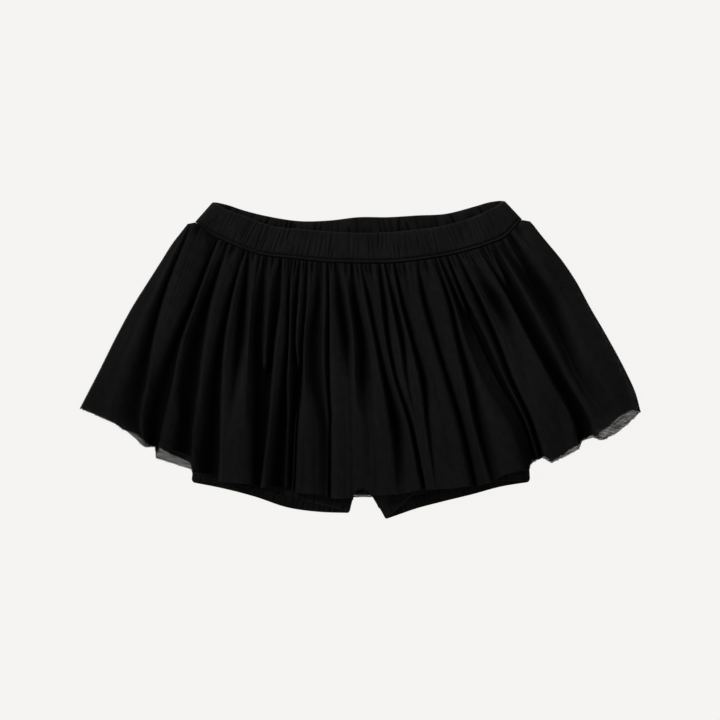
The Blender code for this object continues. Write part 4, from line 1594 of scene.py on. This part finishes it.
@dataclass
class FrontNet(NetPanel):
    """The outer net of the front, with its folds and the gathers under the band.

    floor is how much of a valley's width its foot takes, on its steep, plain and far sides;
    steep_run and soft_run are how wide a wall is, at least and for each millimetre of the valley;
    crest_marks are where a crest is shaped between its walls; fold_angles are in degrees. The gather
    fields are for the fine creases below the band, and the slow ones for a long, low swell, each a
    wavelength and a seed. The last fields weigh the painted shade of low places near the seam, of the
    gathers and streaks, and towards the hem.
    """

    name: str = "outer_net_front"
    node: str = "net_top_front"
    seed: int = 41
    hem_name: str = "outer_hem_front"
    hem_seed: int = 7
    wall: float = 0.3
    seam_z: float = 7.4
    net_z: float = 8.6
    inset: float = 0.3
    fold_radius: float = 0.9
    fold_low: float = 1.0
    fold_angles: tuple[float, ...] = (22.5, 45.0, 67.5, 90.0)
    edge_run: float = 12.0
    columns: int = 540
    row_bands: tuple[tuple[float, float, int], ...] = ((0.0, 0.16, 26), (0.16, 0.94, 50))
    last_rows: int = 10
    corner_cuts: int = 3
    least_step: float = 1.0
    level_gap: float = 8.0
    least_floor: float = 0.3
    most_floor: float = 0.25
    floor: tuple[float, float, float] = (0.12, 0.25, 0.36)
    steep_run: tuple[float, float] = (0.6, 0.15)
    shoulder: float = 0.85
    soft_run: tuple[float, float] = (0.7, 0.65)
    soft_spread: float = 1.55
    most_walls: float = 0.7
    crest_run: float = 1.6
    crest_marks: tuple[float, float] = (0.33, 0.67)
    soft_high: float = 0.7
    edge_high: float = 0.7
    gather_rise: float = 2.4
    gather_run: float = 0.1
    gather_sink: float = 0.5
    gather_length: float = 160.0
    gather_ends: tuple[float, float] = (7.0, 9.0)
    gather_spacing: tuple[float, float] = (1.7, 4.2)
    gather_width: tuple[float, float] = (0.5, 1.1)
    gather_depth: tuple[float, float] = (0.4, 1.0)
    gather_reach: tuple[float, float] = (6.0, 28.0)
    side_later: float = 4.0
    slow_rise: float = 0.7
    slow_across: tuple[float, int] = (47.0, 5)
    slow_down: tuple[float, int] = (65.0, 6)
    slow_stretch: float = 60.0
    streak_depth: float = 0.5
    streaks: Wrinkles = Wrinkles((3.5, 9.0), (0.7, 1.8), (0.25, 1.0), (0.2, 0.75), 3.0, 44)
    # Painted shade: weights of the darkening in low places near the seam, in gathers and streaks, and
    # towards the hem.
    top_hollow: float = 0.65
    gather_painted_shade: float = 0.65
    streak_painted_shade: float = 0.2
    hem_hollow: float = 0.22

    def track(self, valley: Valley, downs: np.ndarray) -> list[np.ndarray]:
        """Follows a valley down the net.

        Args:
            valley: the valley.
            downs: shares of the way from the seam to the hem.

        Returns:
            Its X, width and depth at each share.
        """
        top = float(seam_edge(np.array([valley.x[0]]), Side.FRONT)[0])
        bottom = float(front_hem(valley.x[-1]))
        levels = np.array([top, *LEVELS, bottom])
        last = len(levels) - 1
        kept = [i for i, y in enumerate(levels) if i in (0, last) or y > bottom + self.level_gap]
        places = (top - levels[kept]) / (top - bottom)
        x, width, depth = (np.array(values)[kept] for values in valley[:3])
        return [through(downs, places, x), np.interp(downs, places, width), np.interp(downs, places, depth)]

    def profile(self, down: float, x: np.ndarray, width: np.ndarray, depth: np.ndarray) -> np.ndarray:
        """The corner points of one row across the net.

        Args:
            down: share of the way from the seam to the hem.
            x: where each valley lies on this row.
            width: of each valley.
            depth: of each valley, as a share of the ridges' height.

        Returns:
            Rows of X and height share (0 on the deepest floor, 1 on the highest crest).
        """
        edge = self.inset + self.fold_radius
        x = np.concatenate([[side_edge(Hand.LEFT, down, edge)], x, [side_edge(Hand.RIGHT, down, edge)]])
        for i in range(1, len(x)):
            x[i] = max(x[i], x[i - 1] + self.least_step)
        steep = [0, *(valley.steep for valley in VALLEYS), 0]
        width, depth = np.pad(width, 1), np.pad(depth, 1, constant_values=1 - self.edge_high)
        soft = (self.soft_run[0] + self.soft_run[1] * width) * mix(1.0, self.soft_spread, down)
        soft[[0, -1]] = self.edge_run
        wall = self.steep_run[0] + self.steep_run[1] * width
        rows: list[tuple[float, float]] = []
        for i, gap in enumerate(np.diff(x)):
            left_steep, right_steep = steep[i] == 1, steep[i + 1] == -1
            crest = float(np.clip((gap - (width[i] + width[i + 1]) / 2) / self.crest_run, 0, 1))
            foot = [max(self.least_floor, self.floor[1 + steep[i]] * width[i])]
            foot.append(max(self.least_floor, self.floor[1 - steep[i + 1]] * width[i + 1]))
            feet = [min(f, self.most_floor * gap) for f in foot]
            start, end = x[i] + feet[0], x[i + 1] - feet[1]
            runs = [wall[i] if left_steep else soft[i], wall[i + 1] if right_steep else soft[i + 1]]
            squeeze = min(1.0, self.most_walls * (end - start) / sum(runs))
            first, last = start + runs[0] * squeeze, end - runs[1] * squeeze
            low = 1 - depth[i : i + 2]
            high = 1 - (1 - self.soft_high) * depth[i : i + 2]
            high[[left_steep, right_steep]] = 1.0
            hump = 0.0 if left_steep or right_steep else 0.5 * (2 - high.sum())
            near = self.shoulder if left_steep else high[0]
            rows += [(start, low[0]), (first, mix(low[0], near, crest))]
            for share in self.crest_marks:
                top = mix(high[0], high[1], share) + hump
                rows.append((mix(first, last, share), mix(low.mean(), top, crest)))
            rows += [(last, mix(low[1], high[1], crest)), (end, low[1])]
        return np.array(rows, float)

    def gathers(self, seam_x: np.ndarray, down: np.ndarray) -> np.ndarray:
        """Depth of the fine creases that run down from the band.

        Args:
            seam_x: X of each column at the seam.
            down: share of the way down, alike in shape.

        Returns:
            The depth at each place, 0 or more, where 1 is the whole gather.
        """
        rng = np.random.default_rng(self.seed)
        creases = [(fold.seam, fold.width, 1.0, fold.length) for fold in SHORT_FOLDS]
        ranges = (self.gather_width, self.gather_depth, self.gather_reach)
        centre = float(seam_x.min()) + self.gather_ends[0]
        while centre < seam_x.max() - self.gather_ends[1]:
            centre += rng.uniform(*self.gather_spacing)
            creases.append((centre, *(rng.uniform(*limits) for limits in ranges)))
        total = np.zeros_like(seam_x)
        for centre, width, depth, reach in creases:
            fade = ease(1.0 - down * self.gather_length / reach)
            total = np.maximum(total, depth * fade * bell((seam_x - centre) / width))
        return total

    def surface(self) -> tuple[np.ndarray, np.ndarray]:
        """The net's shape.

        Returns:
            The middle of its wall, [row, column, xyz], and the painted shade at each point, 0 to 1.
        """
        bands = [np.linspace(a, b, count, endpoint=False) for a, b, count in self.row_bands]
        downs = np.concatenate([*bands, np.linspace(self.row_bands[-1][1], 1, self.last_rows)])
        tracks = np.array([self.track(valley, downs) for valley in VALLEYS])
        rows = [self.profile(down, *tracks[..., i].T) for i, down in enumerate(downs)]
        rows = [corner_cut(row, self.corner_cuts) for row in rows]
        chosen = np.linspace(0, len(rows[0]) - 1, self.columns).round().astype(int)
        cut = np.array(rows)[:, chosen]
        x, share = cut[..., 0], cut[..., 1]
        down = np.broadcast_to(downs[:, None], x.shape)
        y = mix(seam_edge(x[0], Side.FRONT), front_hem(x[-1]) + RawHem().ragged(x[-1], self.seed), down)
        loft = through(down, column(LOFT_ROWS, "down"), column(LOFT_ROWS, "height"))
        base = mix(self.seam_z, self.net_z, ease(down / SETTLE)) - side_drop(x, self.side_later)
        gather = self.gathers(np.broadcast_to(x[0], x.shape), down)
        rise = self.gather_rise * ease((down + 0.006) / 0.03) * np.exp(-down / self.gather_run)
        streak = self.streaks.depths(np.broadcast_to(x[-1], x.shape), down) * ease(down / 0.15)
        slow = self.slow_rise * wander(x[-1], *self.slow_across)
        slow = slow * wander(self.slow_stretch * down, *self.slow_down) * ease(down / 0.2)
        z = base + loft * share + rise * (1 - gather) - self.gather_sink * gather * share + slow * share
        z = z - self.streak_depth * streak * share
        # Painted shade: the colour darkens low in the folds (less near the side edges and the seam), in the
        # gathers and streaks, and towards the hem.
        margin = np.minimum(x - x[:, :1], x[:, -1:] - x)
        deep = ease(margin / self.edge_run) * mix(self.top_hollow, 1.0, ease(down / 0.3))
        painted_shade = (1 - share) * deep + self.gather_painted_shade * gather + self.streak_painted_shade * streak
        painted_shade = painted_shade + self.hem_hollow * ease((down - 0.45) / 0.5)
        turned = len(self.fold_angles)
        return self.side_folds(np.stack([x, y, z], axis=-1)), np.pad(painted_shade, ((0, 0), (turned,) * 2), "edge")

    def side_folds(self, points: np.ndarray) -> np.ndarray:
        """Turns the net down at its left and right edges, where it folds round to the back.

        Args:
            points: the net, [row, column, xyz].

        Returns:
            The net with a column more on each side for each of fold_angles.
        """
        angles = np.radians(self.fold_angles)
        ends = []
        for edge, sign in ((points[:, :1], -1), (points[:, -1:], 1)):
            turned = np.repeat(edge, len(angles), axis=1)
            turned[..., 0] += sign * self.fold_radius * np.sin(angles)
            turned[..., 2] = self.fold_low + (edge[..., 2] - self.fold_low) * np.cos(angles)
            ends.append(turned)
        return np.concatenate([ends[0][:, ::-1], points, ends[1]], axis=1)

    def build(self, net: Material, threads: Material) -> list[Object]:
        """Makes the net and its hem.

        Args:
            net: the net's finish.
            threads: the cut ends' finish.

        Returns:
            The net, then the cut ends.
        """
        points, painted_shade = self.surface()
        pieces = self.dress(points, net, threads, rests_on=["shorts_front_left"])
        set_painted_shade(pieces[0], np.tile(painted_shade.ravel(), 2))
        return pieces


@dataclass(kw_only=True)
class PlainNet(NetPanel):
    """A net layer that lies nearly flat: the inner net, and the outer net of the back.

    layer is its column of DROP_ROWS, and inset how far it stays inside the skirt's left and right
    edges at the hem.
    """

    layer: str
    side: Side
    seam_z: float
    net_z: float
    inset: tuple[float, float]
    crease_height: float = 0.7
    columns: int = 300
    rows: int = 56
    ripple: float = 0.2
    ripple_across: float = 11.0
    ripple_down: float = 70.0
    ripple_stretch: float = 90.0
    gather_wave: float = 6.0
    gather_height: float = 0.5
    gather_run: float = 0.09

    def surface(self) -> np.ndarray:
        """The net's shape.

        Returns:
            The middle of its wall, [row, column, xyz].
        """
        ends = [side_edge(hand, 1.0, inset) for hand, inset in zip(Hand, self.inset)]
        marks = [x for x in column(DROP_ROWS, "x") if ends[0] < x < ends[1]]
        hem_x = np.sort(np.concatenate([np.linspace(ends[0], ends[1], self.columns), marks]))
        share = (hem_x - ends[0]) / (ends[1] - ends[0])
        down = np.linspace(0, 1, self.rows)[:, None]
        inner = 0.5 + 0.5 * down
        left = side_edge(Hand.LEFT, down) + inner * self.inset[0]
        right = side_edge(Hand.RIGHT, down) - inner * self.inset[1]
        x = mix(left, right, share)
        hem_y = hem_of(self.layer, hem_x) + RawHem().ragged(hem_x, self.seed)
        y = mix(seam_edge(x[0], self.side), hem_y, down)
        z = mix(self.seam_z, self.net_z, ease(down / SETTLE)) + 0 * x
        if self.side is Side.FRONT:
            z = z - side_drop(x)
        swell = np.abs(wander(down * self.ripple_stretch, self.ripple_down, self.seed + 1))
        wave = np.abs(wander(hem_x, self.ripple_across, self.seed)) * swell
        creases = Wrinkles((7.0, 19.0), (1.1, 2.4), (0.35, 1.0), (0.4, 1.0), 9.0, self.seed)
        fold = self.crease_height * creases.depths(*np.broadcast_arrays(hem_x, down))
        gather = self.gather_height * np.abs(wander(x[0], self.gather_wave, self.seed + 2))
        gather = gather * np.exp(-down / self.gather_run) * ease(down / 0.03)
        z = z + np.maximum(self.ripple * wave * ease(down / 0.1), fold) + gather
        return np.stack([x, y, z], axis=-1)

    def build(self, net: Material, threads: Material) -> list[Object]:
        """Makes the layer and its hem, as FrontNet.build does."""
        return self.dress(self.surface(), net, threads)


# ---- Shorts ------------------------------------------------------------------------------


@dataclass
class ShortsPanel:
    """A quarter of the shorts, from the band to a leg hem.

    inner_curve bends the inner leg's edge, 1 for straight; tuck is how far the front's middle seam
    sinks, seam_fall how far the panel starts below the net's gathered edge, and lap how far it
    reaches under the leg hem. wave is a height, a wavelength and a seed.
    """

    side: Side
    hem: LegHem
    inner_curve: float
    wall: float = 0.9
    back_z: float = 3.2
    front_z: float = 5.6
    seam_z: float = 5.2
    hem_back_z: float = 3.45
    hem_front_z: float = 5.35
    tuck: float = 0.8
    tuck_run: float = 0.12
    seam_fall: float = 0.5
    lap: float = 0.5
    middle_x: float = 0.5
    side_in: float = 2.5
    hem_reach: float = 0.996
    crotch: tuple[float, float] = (1.8, -84.5)
    wave: tuple[float, float, int] = (0.12, 19.0, 9)
    wave_lean: float = 0.3
    leg_start: float = 0.8
    columns: int = 60
    rows: int = 70

    def surface(self) -> np.ndarray:
        """The panel's shape.

        Returns:
            The middle of its wall, [row, column, xyz].
        """
        sign = self.hem.hand.value
        share = np.linspace(0, 1, self.columns)
        along = -sign * (2 * share - 1) * self.hem_reach
        upper = self.hem.plan(along * self.hem.span[1], self.side, np.zeros(self.columns))
        middle_x = self.middle_x + sign * SEAM_GAP / 2
        centre, half = Waistband().seam_line
        seam_x = mix(centre + sign * (half - self.side_in), middle_x, share)
        seam_y = seam_edge(seam_x, self.side) - self.seam_fall
        down = np.linspace(0, 1, self.rows)[:, None]
        x = mix(seam_x, upper[:, 0], down)
        y = mix(seam_y, upper[:, 1] - self.lap, down)
        inner = y[:, -1:]
        centre_x = middle_x + (self.crotch[0] - self.middle_x) * ease(inner / self.crotch[1])
        leg_share = np.clip((self.crotch[1] - inner) / (self.crotch[1] - upper[-1, 1]), 0, 1)
        leg_share = leg_share**self.inner_curve
        x = x + (mix(centre_x, upper[-1, 0], leg_share) - x[:, -1:]) * share**2
        near_leg = ease((down - self.leg_start) / 0.2)
        if self.side is Side.FRONT:
            z = mix(self.seam_z, self.front_z, ease(down / SETTLE))
            z = z + (self.hem_front_z - self.front_z) * near_leg
            z = z - self.tuck * ease(1 - share / self.tuck_run)
        else:
            z = self.back_z + (self.hem_back_z - self.back_z) * near_leg + 0 * share
        wave = self.wave[0] * wander(x + self.wave_lean * y, *self.wave[1:])
        z = z - leg_droop(x, y) + wave * ease(down / 0.2) * ease((1 - down) / 0.1)
        points = np.stack([x, y, z], axis=-1)
        return points[:, ::-1] if sign > 0 else points

    def build(self, jersey: Material) -> Object:
        """Makes the panel.

        Args:
            jersey: its finish.

        Returns:
            The panel.
        """
        points = self.surface()
        down, across = run_length(points, axis=0), run_length(points, axis=1)
        uv = np.stack([points[..., 0], down], axis=-1)
        name = f"shorts_{self.side.value}_{self.hem.word}"
        panel = thin_shell(name + "_cloth", points, uv, self.wall, jersey)
        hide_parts(name)
        return panel


# ---- Floor, light and camera -------------------------------------------------------------


@dataclass(frozen=True)
class Lamp:
    """A broad far light: tilt from straight down, and heading from +X in which it shines, in degrees."""

    name: str
    power: float
    tilt: float
    heading: float
    angle: float


@dataclass
class Studio:
    """A pale board under soft even light, seen from straight above."""

    frame_mm: float = 504.0
    lens: float = 250.0
    sensor: float = 36.0
    camera_lift_m: float = 0.004
    clip_m: float = 20.0
    floor_half_m: float = 6.0
    floor_sink_m: float = 0.0001
    sky: float = 0.24
    lamps: tuple[Lamp, ...] = (
        Lamp("key", power=1.7, tilt=56.0, heading=-32.0, angle=24.0),
        Lamp("rim", power=0.22, tilt=70.0, heading=-8.0, angle=30.0),
        Lamp("fill", power=0.25, tilt=48.0, heading=160.0, angle=60.0),
    )

    def floor(self) -> None:
        """Makes the board that the garment lies on."""
        half, z = self.floor_half_m, -self.floor_sink_m
        mesh = bpy.data.meshes.new("floor")
        corners = [(-half, -half, z), (half, -half, z), (half, half, z), (-half, half, z)]
        mesh.from_pydata(corners, [], [(0, 1, 2, 3)])
        mesh.materials.append(FloorFinish("pale_board").material())
        in_scene("floor", mesh)

    def lights(self) -> None:
        """Makes the even sky and the broad lamps."""
        world = bpy.data.worlds.new("soft_sky")
        world.use_nodes = True
        sky = world.node_tree.nodes["Background"]
        sky.inputs["Color"].default_value = (1.0, 1.0, 1.0, 1.0)
        sky.inputs["Strength"].default_value = self.sky
        bpy.context.scene.world = world
        for lamp in self.lamps:
            light = bpy.data.lights.new(lamp.name, "SUN")
            light.energy = lamp.power
            light.angle = math.radians(lamp.angle)
            stand = in_scene(lamp.name, light)
            stand.rotation_euler = (0.0, math.radians(-lamp.tilt), math.radians(lamp.heading))

    def camera(self) -> None:
        """Makes the camera, straight above the middle of the picture."""
        data = bpy.data.cameras.new("camera")
        data.lens = self.lens
        data.sensor_width = self.sensor
        data.clip_end = self.clip_m
        camera = in_scene("camera", data)
        height = self.frame_mm * MM * self.lens / self.sensor
        camera.location = (0.0, 0.0, height + self.camera_lift_m)
        bpy.context.scene.camera = camera
        bpy.context.scene.view_settings.view_transform = "Standard"

    def build(self) -> None:
        """Sets up the whole studio."""
        self.camera()
        self.floor()
        self.lights()


# ---- The garment -------------------------------------------------------------------------

INNER_CURVES = {Hand.LEFT: 0.4, Hand.RIGHT: 1.0}


def settle(pieces: Sequence[Object], slot: Slot) -> None:
    """Fixes pieces to the garment's body and reports each, with its slot.

    Args:
        pieces: the pieces.
        slot: their material slot.
    """
    for piece in pieces:
        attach(piece, BODY)
        LOG.info("%s: %d faces, %s", piece.name, len(piece.data.polygons), slot.value)


def plain_nets() -> list[tuple[PlainNet, Slot]]:
    """Lists the net layers that lie nearly flat.

    Returns:
        Each layer and its slot, in the order in which they are built.
    """
    return [
        (PlainNet(
            name="outer_net_back", node="net_top_back", hem_name="outer_net_back_hem",
            layer="top_back", side=Side.BACK, seam_z=0.3, net_z=0.3, inset=(0.0, 0.0),
            seed=51, hem_seed=51,
        ), Slot.OUTER_NET),
        (PlainNet(
            name="inner_net_front", node="net_under_front", hem_name="inner_net_front_hem",
            layer="under_front", side=Side.FRONT, seam_z=6.6, net_z=7.1, inset=(2.5, 6.0),
            seed=52, hem_seed=52,
        ), Slot.INNER_NET),
        (PlainNet(
            name="inner_net_back", node="net_under_back", hem_name="inner_net_back_hem",
            layer="under_back", side=Side.BACK, seam_z=1.8, net_z=1.8, inset=(3.0, 7.0),
            seed=53, hem_seed=53, crease_height=0.5,
        ), Slot.INNER_NET),
    ]


def main() -> None:
    """Builds the garment and its studio."""
    logging.basicConfig(level=logging.INFO, format="%(name)s %(message)s")
    Studio().build()
    # The second number of each jersey finish, and 0.12 for the folded net, is what painted shade leaves of
    # the colour deep in creases and folds.
    band_jersey = JerseyFinish("band_jersey", 0.3, (0.0102, 0.0102, 0.0102)).material()
    shorts_jersey = JerseyFinish("shorts_jersey").material()
    # The hem's jersey is given a darker colour than the shorts' jersey, as painted shade from the net that
    # lies over it.
    hem_jersey = JerseyFinish("hem_jersey", 0.2, (0.009, 0.009, 0.009)).material()
    folded_net = NetFinish("folded_net", 0.0011, deepest_painted_shade=0.12, hole_alpha=0.45).material()
    outer = NetFinish("outer_net", 0.0013, turn=22.5, hole_wear=0.3, hole_alpha=0.18).material()
    inner = NetFinish("inner_net", 0.0015, (0.5, 0.7), turn=38.0, hole_alpha=0.6).material()
    thread = ThreadFinish("sewing_thread").material()
    ends = ThreadFinish("net_ends").material()
    settle(Waistband().build(band_jersey, thread), Slot.BAND)
    settle(FrontNet().build(folded_net, ends), Slot.OUTER_NET)
    for net, slot in plain_nets():
        settle(net.build(outer if slot is Slot.OUTER_NET else inner, ends), slot)
    legs = [
        LegHem(),
        LegHem(hand=Hand.RIGHT, rows=tuple(RIGHT_LEG_ROWS), span=(68.1, 51.1)),
    ]
    for leg in legs:
        settle(leg.build(hem_jersey, thread), Slot.HEM)
        for side in Side:
            panel = ShortsPanel(side, leg, INNER_CURVES[leg.hand])
            settle([panel.build(shorts_jersey)], Slot.SHORTS)


if __name__ == "__main__":
    main()
